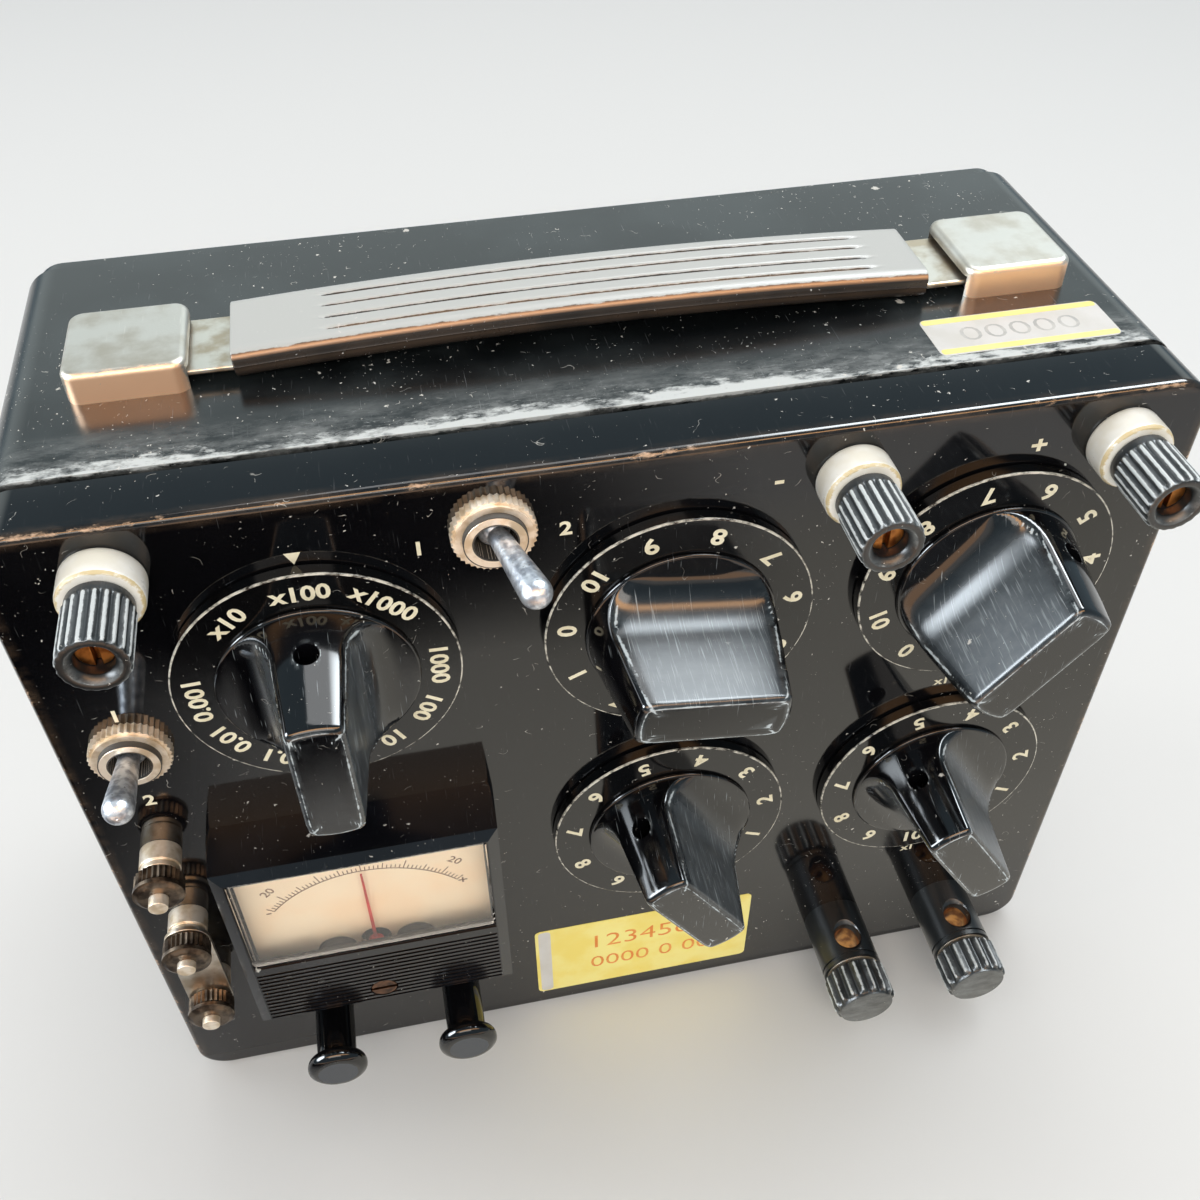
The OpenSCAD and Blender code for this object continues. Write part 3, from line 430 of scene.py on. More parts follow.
            speck = add(tree, "ShaderNodeMapRange", {"Value": left, "From Min": -0.01, "From Max": 0.03,
                                                     "To Max": 0.85})
            tint, rough = cover(tint, rough, speck.outputs[0], dust_hex, 0.8)
    if fibre:
        curl = add(tree, "ShaderNodeTexNoise", {"Vector": place, "Scale": per(7), "Detail": 2.0})
        off = add(tree, "ShaderNodeMath", {0: curl.outputs["Fac"], 1: 0.5}, operation="SUBTRACT")
        away = add(tree, "ShaderNodeMath", {0: off.outputs[0]}, operation="ABSOLUTE")
        line = add(tree, "ShaderNodeMapRange", {"Value": away.outputs[0], "From Min": 0.0,
                                                "From Max": 0.004, "To Min": 1.0, "To Max": 0.0})
        pieces = add(tree, "ShaderNodeTexNoise", {"Vector": place, "Scale": per(3.4), "Detail": 1.0})
        some = add(tree, "ShaderNodeMapRange", {"Value": pieces.outputs["Fac"], "From Min": 0.66,
                                                "From Max": 0.7, "To Max": fibre})
        strand = add(tree, "ShaderNodeMath", {0: line.outputs[0], 1: some.outputs[0]},
                     operation="MULTIPLY")
        tint, rough = cover(tint, rough, strand.outputs[0], dust_hex, 0.8)
    shader = add(tree, "ShaderNodeBsdfPrincipled", {"Base Color": tint, "Roughness": rough,
                                                    "Metallic": metallic})
    if not metallic:
        shader.inputs["IOR"].default_value = ior
    if grain:
        rise = add(tree, "ShaderNodeTexNoise", {"Vector": place, "Scale": per(grain_mm), "Detail": 3.0})
        bump = add(tree, "ShaderNodeBump", {"Height": rise.outputs["Fac"], "Strength": grain,
                                            "Distance": grain_mm * MM * 0.3})
        tree.links.new(bump.outputs[0], shader.inputs["Normal"])
    add(tree, "ShaderNodeOutputMaterial", {"Surface": shader.outputs[0]})
    return material


# %% [markdown]
# ## The black plastics
# Case, panel, knobs and posts are moulded phenolic and similar hard resins, IOR about 1.55. They come
# from a polished mould, so they are mirror-like until use scratches them. Rubbed corners turn grey, and
# some edges carry painted highlights.
# %% Black plastics
CASE_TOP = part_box("rear_case")[1].z / MM
CASE_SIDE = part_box("rear_case")[1].x / MM
SEAM_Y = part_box("front_panel")[1].y / MM
# polished phenolic tray: mirror gloss with dust, small fibres and hairline scratches, and a painted tan
# highlight along its lip
panel_phenolic = aged("panel_phenolic", "08080a", 0.07, second="0b0b0d", scratch=0.14, dust=1.0,
                      fibre=0.6, ior=1.55, wear_and_highlight_hex="c8a584", wear_and_highlight_reach=0.34, haze=0.2,
                      edges=[((Z_AXIS, CASE_TOP, 3), (Y_AXIS, PANEL_Y / MM, 3)),
                             ((X_AXIS, CASE_SIDE, 3), (Y_AXIS, PANEL_Y / MM, 3))])
# the deep case, of the same resin but handled and set down: broad scuffs at the seam and the corners
case_phenolic = aged("case_phenolic", "0c0f10", 0.2, second="24292a", patch=26, scratch=0.3, dust=1.25,
                     fibre=0.8, ior=1.55, wear_and_highlight_hex="c8ccca", wear_and_highlight_rough=0.7, wear_and_highlight_reach=0.46, haze=0.75,
                     edges=[((Z_AXIS, CASE_TOP, 2.4), (Y_AXIS, SEAM_Y, 15)),
                            ((Z_AXIS, CASE_TOP, 4), (X_AXIS, CASE_SIDE, 4))])
# pressed phenolic knobs: high polish, dulled and scratched on the flanks, which also get a painted blue-grey
# sky sheen, and grey at the edges, where real rubbing and painted highlight meet
knob_phenolic = aged("knob_phenolic", "070709", 0.09, second="0d0d10", scratch=0.7, dust=0.9,
                     scratch_hex="b0b9bd", fibre=0.3, film=0.34, painted_sheen_hex="3a4248", ior=1.58, wear_and_highlight_hex="bcc6ca",
                     wear_and_highlight_rough=0.6, wear_and_highlight_reach=0.42, haze=0.4)
# lacquered dial disc, whose rim shows a pale line: lacquer partly rubbed through by use, and partly painted
# highlight
dial_lacquer = aged("dial_lacquer", "080809", 0.1, second="0c0c0d", scratch=0.16, dust=1.0, fibre=0.4,
                    wear_and_highlight_hex="d8d3c5", wear_and_highlight_reach=0.2)
# post caps: harder used than the knobs, their ridges rubbed pale grey
post_resin = aged("post_resin", "15191b", 0.32, second="23282b", scratch=0.3, dust=0.8,
                  wear_and_highlight_hex="ccd2d2", wear_and_highlight_rough=0.6, wear_and_highlight_reach=0.58, haze=0.85, ior=1.55)
# galvanometer housing of acrylic-like plastic, less worn, with a faint blue bloom
meter_resin = aged("meter_resin", "0b0c10", 0.16, second="13151a", scratch=0.14, dust=0.9, fibre=0.4)
# press keys, turned from rod and polished, their tops gone matte
key_resin = aged("key_resin", "070708", 0.06, second="0c0c0e", dust=0.4, scratch=0.1, ior=1.55,
                 wear_and_highlight_hex="3c4147", wear_and_highlight_reach=0.45)
print("black plastics:", len(bpy.data.materials))

# %% [markdown]
# ## Metals and the rest
# Plating is nickel over brass: bright where it is sound, brown or pitted where it isn't. Metals keep
# their default IOR, because their colour already says how they reflect.
# %% Metals
# handle caps: nickel plate, lightly brushed by years of use, with a painted copper reflection low on the
# front
CAP_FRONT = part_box("handle_caps")[0].y / MM
cap_nickel = aged("cap_nickel", "c8c5bd", 0.36, metallic=0.8, second="aca598", patch=9, scratch=0.35,
                  scratch_hex="e8e4dc", dust=0.7, grain=0.12, grain_mm=0.5, wear_and_highlight_hex="ffd4b0", wear_and_highlight_rough=0.4,
                  wear_and_highlight_reach=0.85, edges=[((Z_AXIS, CASE_TOP + 1, 9), (Y_AXIS, CAP_FRONT, 2))])
# knurled nuts and small terminals: nickel plate with warm bloom
nut_nickel = aged("nut_nickel", "f4e9d8", 0.4, metallic=0.6, second="cfbc9f", patch=3, dust=0.5)
# the terminals' nuts, gone brown in the fingers' sweat
brown_nickel = aged("brown_nickel", "6f6254", 0.36, metallic=0.85, second="352c25", patch=2.5, dust=0.6)
# toggle levers: chrome-like plate gone blue-grey and pitted
pitted_nickel = aged("pitted_nickel", "dde2e8", 0.34, metallic=0.8, second="989da6", patch=1.6,
                     dust=1.6, dust_hex="4a4644", grain=0.4, grain_mm=0.8)
# strap of spring steel, plated, brownish where it is bare
strap_steel = aged("strap_steel", "d6d0c5", 0.32, metallic=1.0, second="b0a28d", patch=5, scratch=0.3)
# springs and hidden anchors of plain bright steel
bright_steel = aged("bright_steel", "c6c6c4", 0.3, metallic=1.0, second="9b9b98", patch=4)
# turned brass, tarnished to copper brown in recesses
old_brass = aged("old_brass", "c08a4e", 0.3, metallic=1.0, second="7c4f2c", patch=2.4, dust=0.4)
# enamelled copper of the moving coil, and the dull zero screw
red_copper = aged("red_copper", "6b4c38", 0.35, metallic=1.0, second="3f2f26", patch=2)

# %% Resins, paint, paper and rubber
# glazed white insulators, with a painted warm reflection in yellow round their top rims
white_insulator = aged("white_insulator", "fdfbf2", 0.28, second="f1ecdc", patch=7, dust=0.5,
                       dust_hex="8d8678", wear_and_highlight_hex="d8c493", wear_and_highlight_reach=0.45)
# cream paint run into the engraved figures, dulled by fingers
cream_filling = aged("cream_filling", "f3ebce", 0.55, second="e2d8b8", patch=5, dust=0.6,
                     dust_hex="4c4a44")
# embossed soft vinyl of the grip: black-brown, its top painted light grey as dust together with painted sky
# reflection, and a painted copper highlight along its front edge
grip_vinyl = aged("grip_vinyl", "3d332b", 0.27, second="2a241f", patch=12, dust=1.1, dust_hex="d0cfca",
                  grain=0.25, grain_mm=0.35, film=0.3, painted_sheen_hex="c9966c", wear_and_highlight_hex="bdbeba", wear_and_highlight_rough=0.42,
                  wear_and_highlight_reach=0.8)
# cream-painted scale plate, sun-browned towards peach
scale_paint = aged("scale_paint", "fff5e0", 0.5, second="fde8cb", patch=22)
# brown print on the scale, and the pointer's red paint
scale_print = aged("scale_print", "6b4a35", 0.6, second="7d5a42", patch=4)
pointer_paint = aged("pointer_paint", "c8291f", 0.4, second="b02a20", patch=5)
# blued and blackened works of the movement
black_works = aged("black_works", "191715", 0.6, second="2e2925", patch=3)
# moulded black rubber, matt and slightly grainy
foot_rubber = aged("foot_rubber", "1b1b1b", 0.75, second="262625", patch=4, dust=0.8, grain=0.3)
# paper laminate board, fibre wafers, glazed spools and the cells' card jackets
laminate_board = aged("laminate_board", "8a5a33", 0.45, second="9c6a3e", patch=14, grain=0.1)
glazed_spool = aged("glazed_spool", "d9cdb4", 0.35, second="c4b392", patch=6)
cell_jacket = aged("cell_jacket", "3f5f86", 0.4, second="36547a", patch=16, dust=0.4)
box_fibre = aged("box_fibre", "3a3733", 0.6, second="45413b", patch=10, grain=0.2)
# stickers of coated paper: yellow inventory label, and a white one with yellow edges
yellow_label = aged("yellow_label", "fcee92", 0.45, second="f8e274", patch=10, dust=0.5,
                    dust_hex="6f6a4c")
white_label = aged("white_label", "d8d6d2", 0.45, second="cecbc4", patch=8, dust=0.5,
                   dust_hex="8a8779")
# orange stamping ink, and a grey painted shade that stands in for the relief of embossed figures
stamp_ink = aged("stamp_ink", "e8862c", 0.5, second="f0a04a", patch=3)
embossing_painted_shade = aged("embossing_painted_shade", "a9a8a4", 0.5, second="c2c0ba", patch=3)
print("materials:", len(bpy.data.materials))

# %% [markdown]
# The meter's window is cast acrylic, IOR 1.49. It is a solid block with full transmission, so the
# scale behind it shifts and shines as it does in life.
# %% Clear acrylic
clear_acrylic, tree = blank("clear_acrylic")
place = add(tree, "ShaderNodeTexCoord").outputs["Object"]
haze = add(tree, "ShaderNodeTexNoise", {"Vector": place, "Scale": per(6), "Detail": 5.0})
haze_rough = add(tree, "ShaderNodeMapRange", {"Value": haze.outputs["Fac"], "From Min": 0.45,
                                              "From Max": 0.8, "To Min": 0.01, "To Max": 0.12})
acrylic = add(tree, "ShaderNodeBsdfPrincipled", {"Base Color": paint_colour("fdf6ee"), "IOR": 1.49,
                                                 "Roughness": haze_rough.outputs[0],
                                                 "Transmission Weight": 1.0})
add(tree, "ShaderNodeOutputMaterial", {"Surface": acrylic.outputs[0]})
print("made", clear_acrylic.name)

# %% [markdown]
# ## The case
# Tray, deep case and rear cover are exact solids with bores and bosses, so there is nothing to gain by
# drawing them again. A merged copy of each gets smooth shading, and the deep case slightly eased edges.
# %% Case shells
dressed("front_panel", panel_phenolic)
dressed("rear_case", case_phenolic, bevel=0.6)
dressed("rear_cover", case_phenolic)
dressed("case_screws", nut_nickel, bevel=0.15)

# %% [markdown]
# ## Feet
# Each rubber foot is a short cone with a recess for its screw, so the profile goes up the outside,
# over the rim and down into the recess.
# %% Rubber feet
foot_low, foot_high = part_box("rear_feet")
case_back_h = -(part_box("rear_cover")[1].y - PANEL_Y) / MM
foot_t = (foot_high.y - foot_low.y) / MM
foot_r, recess_r, recess_t = 7.0, 3.0, 2.0
feet_x = foot_high.x / MM - foot_r
feet_y = (foot_low.z / MM + foot_r, foot_high.z / MM - foot_r)
foot_profile = eased([[0, 0], [foot_r, 0], [foot_r - 0.75, -foot_t], [recess_r, -foot_t],
                      [recess_r, -foot_t + recess_t], [0, -foot_t + recess_t]], 0.5)
foot_profile = foot_profile + [0, case_back_h]
piece("rubber_feet", [skin(turned(foot_profile, (x, y), 40)) for x in (-feet_x, feet_x) for y in feet_y],
      foot_rubber, "root", ["rear_feet"])

# %% [markdown]
# ## Dials
# A dial is a thin lacquered disc under its knob. The painted share is 1 only on the outer edge, where
# the pale line shows: lacquer partly rubbed through in use, and partly painted highlight. Figures are cream
# paint in shallow engraving, drawn here as very thin raised text.
# %% Dial and knob sizes
DIALS = ("multiply", "x1000", "x100", "x10", "x1")


def centre_of(node):
    """Middle of a node on the panel, in panel millimetres."""
    low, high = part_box(node)
    return np.array([(low.x + high.x) / 2, (low.z + high.z) / 2]) / MM


def heights_of(node):
    """Lowest and highest h of a node, in millimetres over the panel."""
    low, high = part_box(node)
    return (PANEL_Y - high.y) / MM, (PANEL_Y - low.y) / MM


dial_at = {name: centre_of(name + "_dial") for name in DIALS}
dial_r = round((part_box("x10_dial")[1].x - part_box("x10_dial")[0].x) / MM) / 2
dial_low, dial_top = heights_of("x10_dial")
knob_low, knob_top = heights_of("x10_knob")
print("dial radius", dial_r, "top", round(dial_top, 2), "knob", round(knob_low, 2), round(knob_top, 2))

# %% Dial discs
disc = eased([[0, dial_low], [dial_r, dial_low], [dial_r, dial_top - 0.7], [dial_r, dial_top],
              [dial_r - 0.9, dial_top], [0, dial_top]], 0.3)
to_rim = np.hypot(disc[:, 0] - dial_r, disc[:, 1] - dial_top)
# pale rim line: lacquer rubbed through together with a painted edge highlight
rim_wear_and_highlight = np.where(to_rim < 0.45, 1.0, 0.0)
for name in DIALS:
    piece(name + "_disc", [skin(turned(disc, dial_at[name], 144), wear=rim_wear_and_highlight[:, None])],
          dial_lacquer, name + "_control", [name + "_dial"])

# %% [markdown]
# ## Knobs
# The bar knob is a cone cut to a bar by two hollowed flanks. Seen in plan, a row of the grid is the
# smaller of the cone's radius and the flank's distance w / |cos a|. A smooth minimum, which loses up to
# k / 4 where the two are equal, rounds the edge between them, as the mould does. Columns are drawn
# closer together at the bar's ends, where that edge runs.
# %% Knob surface
KNOB_R = 19.5
TIP_R = 15.0
TIP_W = 5.5
BAR_W = 6.9
SCOOP_R = 9.5
FOOT_H = 4.2
EDGE_K = 3.2
TOP_ROUND = 1.3
HOLE_H = 13.2
HOLE_R = 2.3
KNOB_SHARP = 50
hole_side = {name: 1.0 if name == "multiply" else -1.0 for name in DIALS}
FAR = 99
STEP = 360 / 11
# each knob's turn at rest, in degrees clockwise from up; one decade dial stands 5 degrees past its number
turn_of = {"multiply": 0.0, "x1000": 180 + STEP * 3, "x100": 180 + STEP + 5, "x10": 180 + STEP * 10,
           "x1": 180 + STEP * 10}


def knob_rows(side, columns=168):
    """Rows (flank distance w, height h, inset) up the knob, and the radius of each column there. A share
    for real rubbing together with painted highlight goes on the edges and round the tip, and one for real
    rubbing round the screw hole, which lies at `side` (1 up, -1 down). A second share, on the flanks,
    marks where fingers dulled the polish and where a painted sky sheen lies; a quarter of it joins the
    first."""
    scoop = np.linspace(0, np.pi / 2, 15)
    shoulder = BAR_W + SCOOP_R
    low = [[FAR, knob_low + 0.05, 0.3], [FAR, knob_low + 0.35, 0], [FAR, FOOT_H - 0.35, 0],
           [FAR, FOOT_H - 0.1, 0.1], [FAR, FOOT_H, 0.4], [shoulder + 1.5, FOOT_H, 0.4]]
    hollow = np.stack([shoulder - SCOOP_R * np.sin(scoop), FOOT_H + SCOOP_R * (1 - np.cos(scoop)),
                       0.4 * (1 - scoop / scoop[-1])], -1)
    climb = np.linspace(0, 1, 12)[1:, None]
    bar = np.array([BAR_W, FOOT_H + SCOOP_R, 0]) * (1 - climb) + climb * [TIP_W, knob_top - TOP_ROUND, 0]
    over = np.linspace(0, np.pi / 2, 7)[1:]
    top = np.stack([TIP_W + 0 * over, knob_top - TOP_ROUND * (1 - np.sin(over)),
                    TOP_ROUND * (1 - np.cos(over))], -1)
    top = np.vstack([top, [[TIP_W, knob_top, TOP_ROUND + 0.5], [TIP_W, knob_top, TOP_ROUND + 1.4]]])
    w, h, inset = np.vstack([low, hollow, bar, top]).T[:, :, None]
    a = full_turn(columns)
    a = (a + 0.25 * np.sin(2 * a))[None]
    cone = KNOB_R + (TIP_R - KNOB_R) * (h - knob_low) / (knob_top - knob_low) - inset + 0 * a
    flank = (w - inset) / np.maximum(np.abs(np.cos(a)), 0.02)
    near = np.maximum(EDGE_K - np.abs(cone - flank), 0)
    radius = np.minimum(cone, flank) - near ** 2 / (4 * EDGE_K)
    # edge share: real rubbing together with the painted highlight of the sky in the rounded edge
    edge = np.clip(1 - np.abs(cone - flank) / 1.7, 0, 1) * np.clip((h - FOOT_H) / 3, 0, 1)
    rim = 0.9 * np.clip(1 - np.abs(inset - 0.7 * TOP_ROUND) / 0.6, 0, 1) * (h > knob_top - TOP_ROUND) + 0 * a
    from_hole = np.hypot(h - HOLE_H, radius * np.cos(a)) + FAR * (np.sin(a) * side < 0)
    round_hole = np.clip(1.2 - np.abs(from_hole - HOLE_R) / 0.5, 0, 1)
    # flank share: polish dulled by fingers, together with a painted blue-grey sky sheen
    film = np.clip((cone - flank) / 3, 0, 1) * np.clip((h - FOOT_H - 1) / 4, 0, 1)
    film = film * (1 - np.clip(inset * (h > knob_top - TOP_ROUND) / 0.8, 0, 1))
    return a, h + 0 * a, radius, np.maximum.reduce([edge, rim, round_hole, 0.25 * film]), film


def clockwise(x, y, degrees, at):
    """Turn plan points clockwise about the origin, then move them to a place on the panel."""
    c, s = math.cos(math.radians(degrees)), math.sin(math.radians(degrees))
    return at[0] + x * c + y * s, at[1] - x * s + y * c


for name in DIALS:
    a, h, radius, wear, film = knob_rows(hole_side[name])
    x, y = clockwise(radius * np.cos(a), radius * np.sin(a), turn_of[name], dial_at[name])
    piece(name + "_bar_knob", [skin(np.stack([x, y, h], -1), wear=wear, film=film)], knob_phenolic,
          name + "_control", [name + "_knob"], sharp=KNOB_SHARP)

# %% [markdown]
# The grub screw's hole goes in from the bar's narrow side. Cutting it is a job for a Boolean modifier,
# which is applied at once, so the knob stays one plain mesh.
# %% Set-screw holes
HOLE_FROM, HOLE_TO = 8.5, 30.0


def bored(thing, cutter_rows):
    """Cut the closed skin `cutter_rows` out of a piece and keep the result as its mesh."""
    cutter_mesh = bpy.data.meshes.new("cutter")
    points, faces, _ = skin(cutter_rows)
    cutter_mesh.from_pydata(to_frame(points), [], faces)
    settle(cutter_mesh, SHARP)
    cutter = linked("cutter", cutter_mesh)
    drill = thing.modifiers.new("drill", "BOOLEAN")
    drill.object = cutter
    drill.operation = "DIFFERENCE"
    drill.solver = "EXACT"
    flats = thing.modifiers["flats"]
    flats.show_viewport = False
    depsgraph = bpy.context.evaluated_depsgraph_get()
    mesh = bpy.data.meshes.new_from_object(thing.evaluated_get(depsgraph))
    thing.modifiers.remove(drill)
    flats.show_viewport = True
    mesh.set_sharp_from_angle(angle=math.radians(KNOB_SHARP))
    thing.data = mesh
    bpy.data.objects.remove(cutter)


for name in DIALS:
    knob = bpy.data.objects[name + "_bar_knob"]
    around = full_turn(32)[None]
    depth = hole_side[name] * np.array([HOLE_FROM, HOLE_TO])[:, None]
    x, y = clockwise(HOLE_R * np.cos(around) + 0 * depth, depth + 0 * around, turn_of[name],
                     dial_at[name])
    bored(knob, np.stack([x, y, HOLE_H + HOLE_R * np.sin(around) + 0 * depth], -1))
print("holes bored in", len(DIALS), "knobs")

# %% [markdown]
# ## Figures
# Only plain numbers and signs go on the panel. A text object becomes a mesh at once, its points are
# turned and placed in panel millimetres, and all the figures of a dial are one piece that turns with
# it. The decade dials count anticlockwise, with the tops of the figures towards the knob.
# %% Figures
def figures(entries, top, thick=0.06, bold=0.028, wide=1.1):
    """Skins of short texts. An entry is (text, x, y, size, clockwise turn)."""
    skins = []
    for text, x, y, size, turn in entries:
        curve = bpy.data.curves.new("figures", "FONT")
        curve.body = text
        curve.align_x, curve.align_y = "CENTER", "CENTER"
        curve.size = size
        curve.extrude = thick / 2
        curve.offset = bold * size
        curve.resolution_u = 3
        holder = linked("figures", curve)
        depsgraph = bpy.context.evaluated_depsgraph_get()
        mesh = bpy.data.meshes.new_from_object(holder.evaluated_get(depsgraph))
        points = np.empty(len(mesh.vertices) * 3)
        mesh.vertices.foreach_get("co", points)
        points = points.reshape(-1, 3)
        middle = (points.max(0) + points.min(0)) / 2
        px, py = clockwise(wide * (points[:, 0] - middle[0]), points[:, 1] - middle[1], turn, (x, y))
        skins.append((np.stack([px, py, points[:, 2] + top + thick / 2 - 0.02], -1),
                      [list(p.vertices) for p in mesh.polygons], {}))
        bpy.data.objects.remove(holder)
    return skins


def round_dial(at, radius, texts, size, outward):
    """Entries for texts {angle: text} round a dial, angles clockwise from up."""
    return [(text, at[0] + radius * math.sin(math.radians(angle)),
             at[1] + radius * math.cos(math.radians(angle)), size, angle + (0 if outward else 180))
            for angle, text in texts.items()]


RATIO_R, RATIO_SIZE = 23, 4.9
COUNT_R, COUNT_SIZE = 23.2, 5.3
RATIOS = {0: "x100", -37: "x10", 39: "x1000", -92: "0.001", -124: "0.01", -151: "0.1", 180: "1", 150: "10",
          123: "100", 92: "1000"}
ratio_entries = round_dial(dial_at["multiply"], RATIO_R, RATIOS, RATIO_SIZE, True)
piece("multiply_figures", figures(ratio_entries, dial_top), cream_filling, "multiply_control")
# where each decade's zero stands at rest, in degrees clockwise from up
ZERO_AT = {"x1000": -81.8, "x100": -142.0, "x10": 147.3, "x1": 147.3}
for name, zero in ZERO_AT.items():
    counts = {zero - STEP * k: str(k) for k in range(11)}
    entries = round_dial(dial_at[name], COUNT_R, counts, COUNT_SIZE, False)
    piece(name + "_figures", figures(entries, dial_top), cream_filling, name + "_control")

# %% [markdown]
# The panel's own marks are just as plain: an index at each dial, the decades' values, and signs beside
# the posts. The index is a small triangle, given as three points and its thickness.
# %% Panel marks
def wedge(x, y, half, drop):
    """A thin triangle that points down for drop > 0 and up for drop < 0."""
    corners = np.array([[x - half, y], [x + half, y], [x, y - drop]])
    return skin(np.stack([np.column_stack([corners, np.full(3, h)]) for h in (-0.02, 0.05)]))


marks = [("1", -39.7, 171.5, 4.4, 0), ("2", -12.6, 171.5, 4.4, 0), ("1", -101.2, 140.0, 4.4, 0),
         ("2", -101.2, 113.8, 4.4, 0), ("-", 28, 175.4, 5.5, 0), ("+", 80, 175.7, 5.5, 0),
         ("x1000", 9.4, 110.4, 3.2, 0), ("x100", 74.4, 110.4, 3.2, 0), ("x10", 10.4, 44.6, 3.2, 0),
         ("x1", 75.4, 44.6, 3.2, 0)]
wedges = [wedge(dial_at["multiply"][0], 174.6, 1.5, 2.7)]
wedges += [wedge(dial_at[name][0], dial_at[name][1] - 31.6, 1.0, -1.8) for name in DIALS[1:]]
piece("panel_marks", figures(marks, 0.0) + wedges, cream_filling, "root")

# %% [markdown]
# ## Binding posts
# A post is a white insulator, a slotted brass stud and a fluted cap with a smooth band at its foot. The
# cap's wall is a closed profile: up the outside, over the rim, down the bore. Flutes are a power of a
# cosine, so they are narrow grooves between broad ridges, and the ridges carry the wear.
# %% Insulators and studs
POST_NODES = ("g_post_cap", "minus_post_cap", "plus_post_cap")
POST_BODIES = ("g_cap", "minus_cap", "plus_cap")
FLUTES = 20
post_at = [centre_of(node) for node in POST_NODES]
cap_low, cap_top = heights_of("plus_post_cap")
collar_top = heights_of("post_collars")[1]
stud_r = 3.25
collar = np.array([[stud_r + 0.1, 0.05], [7.3, 0.05], [7.45, 0.3], [7.5, 0.8], [7.5, collar_top - 1.2],
                   [7.35, collar_top - 0.6], [7.0, collar_top - 0.15], [6.5, collar_top],
                   [stud_r + 0.1, collar_top]])
# a yellow band round the top rim: painted warm reflection
painted_warm_rim = np.exp(-((collar[:, 1] - collar_top + 0.4) / 0.5) ** 2)
piece("white_collars", [skin(turned(collar, at, 96), loop=True, wear=painted_warm_rim[:, None])
                        for at in post_at], white_insulator, "root", ["post_collars"])
dressed("post_studs", old_brass, bevel=0.15)

# %% Fluted caps
def grooves(count, power):
    """1 in the middle of each groove and 0 on the ridges: (half + half cos(count a)) to a power."""
    return lambda a: (0.5 + 0.5 * np.cos(count * a)) ** power


cap_r = 6.2
bore_r = 3.3
cap_wall = np.array([
    [bore_r, cap_low, 0], [5.5, cap_low, 0], [5.85, cap_low + 0.25, 0], [5.9, cap_low + 1.7, 0],
    [5.9, cap_low + 2.0, 0], [cap_r - 0.1, cap_low + 2.2, 0.25], [cap_r, cap_low + 2.8, 0.6],
    [cap_r, cap_low + 7, 0.62], [cap_r, cap_top - 1.3, 0.6], [cap_r - 0.1, cap_top - 0.6, 0.4],
    [cap_r - 0.35, cap_top - 0.15, 0.15], [cap_r - 0.7, cap_top, 0], [cap_r - 1.5, cap_top, 0],
    [cap_r - 1.75, cap_top - 0.1, 0], [bore_r + 0.1, cap_top - 1.25, 0], [bore_r, cap_top - 1.6, 0]])
around = full_turn(FLUTES * 12)[None]
ridges = (1 - grooves(FLUTES, 1.2)(around)) ** 2 * np.clip(cap_wall[:, 2:3] / 0.5, 0, 1)
rims = np.where(np.abs(cap_wall[:, 1:2] - cap_top + 0.15) < 0.1, 0.5, 0.0)
for node, body, at in zip(POST_NODES, POST_BODIES, post_at):
    piece(node + "_fluted", [skin(turned(cap_wall, at, FLUTES * 12, grooves(FLUTES, 1.2)), loop=True,
                                  wear=np.maximum(ridges * 0.95, rims))],
          post_resin, body, [node])

# %% [markdown]
# ## Resistance posts
# These two take a bare wire through a cross hole, and their caps clamp it. The drilled bodies come
# from the model. Only the cap is new: sixteen broad flutes, a flat end, and its brass screw.
# %% Resistance posts
dressed("rx_post_bodies", post_resin, bevel=0.3)
dressed("rx_post_cores", old_brass)
RX_FLUTES = 16
rx_low, rx_top = heights_of("rx_post_bodies")[1] + 1.0, heights_of("rx_cap_left")[1]
rx_r = 8.2
rx_profile = np.array([
    [0, rx_low, 0], [rx_r - 0.9, rx_low, 0.1], [rx_r - 0.3, rx_low + 0.2, 0.6],
    [rx_r, rx_low + 0.8, 1.0], [rx_r, rx_top - 2.2, 1.05], [rx_r - 0.15, rx_top - 1.4, 1.0],
    [rx_r - 0.5, rx_top - 0.95, 0.6], [rx_r - 1.0, rx_top - 0.75, 0.1], [rx_r - 1.15, rx_top - 0.5, 0],
    [rx_r - 1.2, rx_top - 0.15, 0], [rx_r - 1.45, rx_top, 0], [0, rx_top, 0]])
rx_screw = [[0, 14.3], [1.6, 14.3], [2, 14.7], [2, rx_low + 0.2], [0, rx_low + 0.2]]
around = full_turn(RX_FLUTES * 12)[None]
rx_ridges = (1 - grooves(RX_FLUTES, 0.8)(around)) ** 2 * np.clip(rx_profile[:, 2:3], 0, 1)
rx_end = np.where(rx_profile[:, 1:2] > rx_top - 0.2, 0.35, 0.0)
for node in ("rx_cap_left", "rx_cap_right"):
    body = "left_rx_cap" if node == "rx_cap_left" else "right_rx_cap"
    piece(node + "_fluted", [skin(turned(rx_profile, centre_of(node), RX_FLUTES * 12,
                                         grooves(RX_FLUTES, 0.8)),
                                  wear=np.maximum(rx_ridges * 0.8, rx_end))],
          post_resin, body, [node])
    piece(node + "_screw", [skin(turned(rx_screw, centre_of(node), 32))], old_brass, body,
          [node])
rx_at = [centre_of(node) for node in ("rx_cap_left", "rx_cap_right")]
flange = np.array([[2.3, 16.9], [6.9, 16.9], [6.9, 17.1], [2.3, 17.1]])
piece("rx_flanges", [skin(turned(flange, at, 64), loop=True) for at in rx_at], nut_nickel, "root")

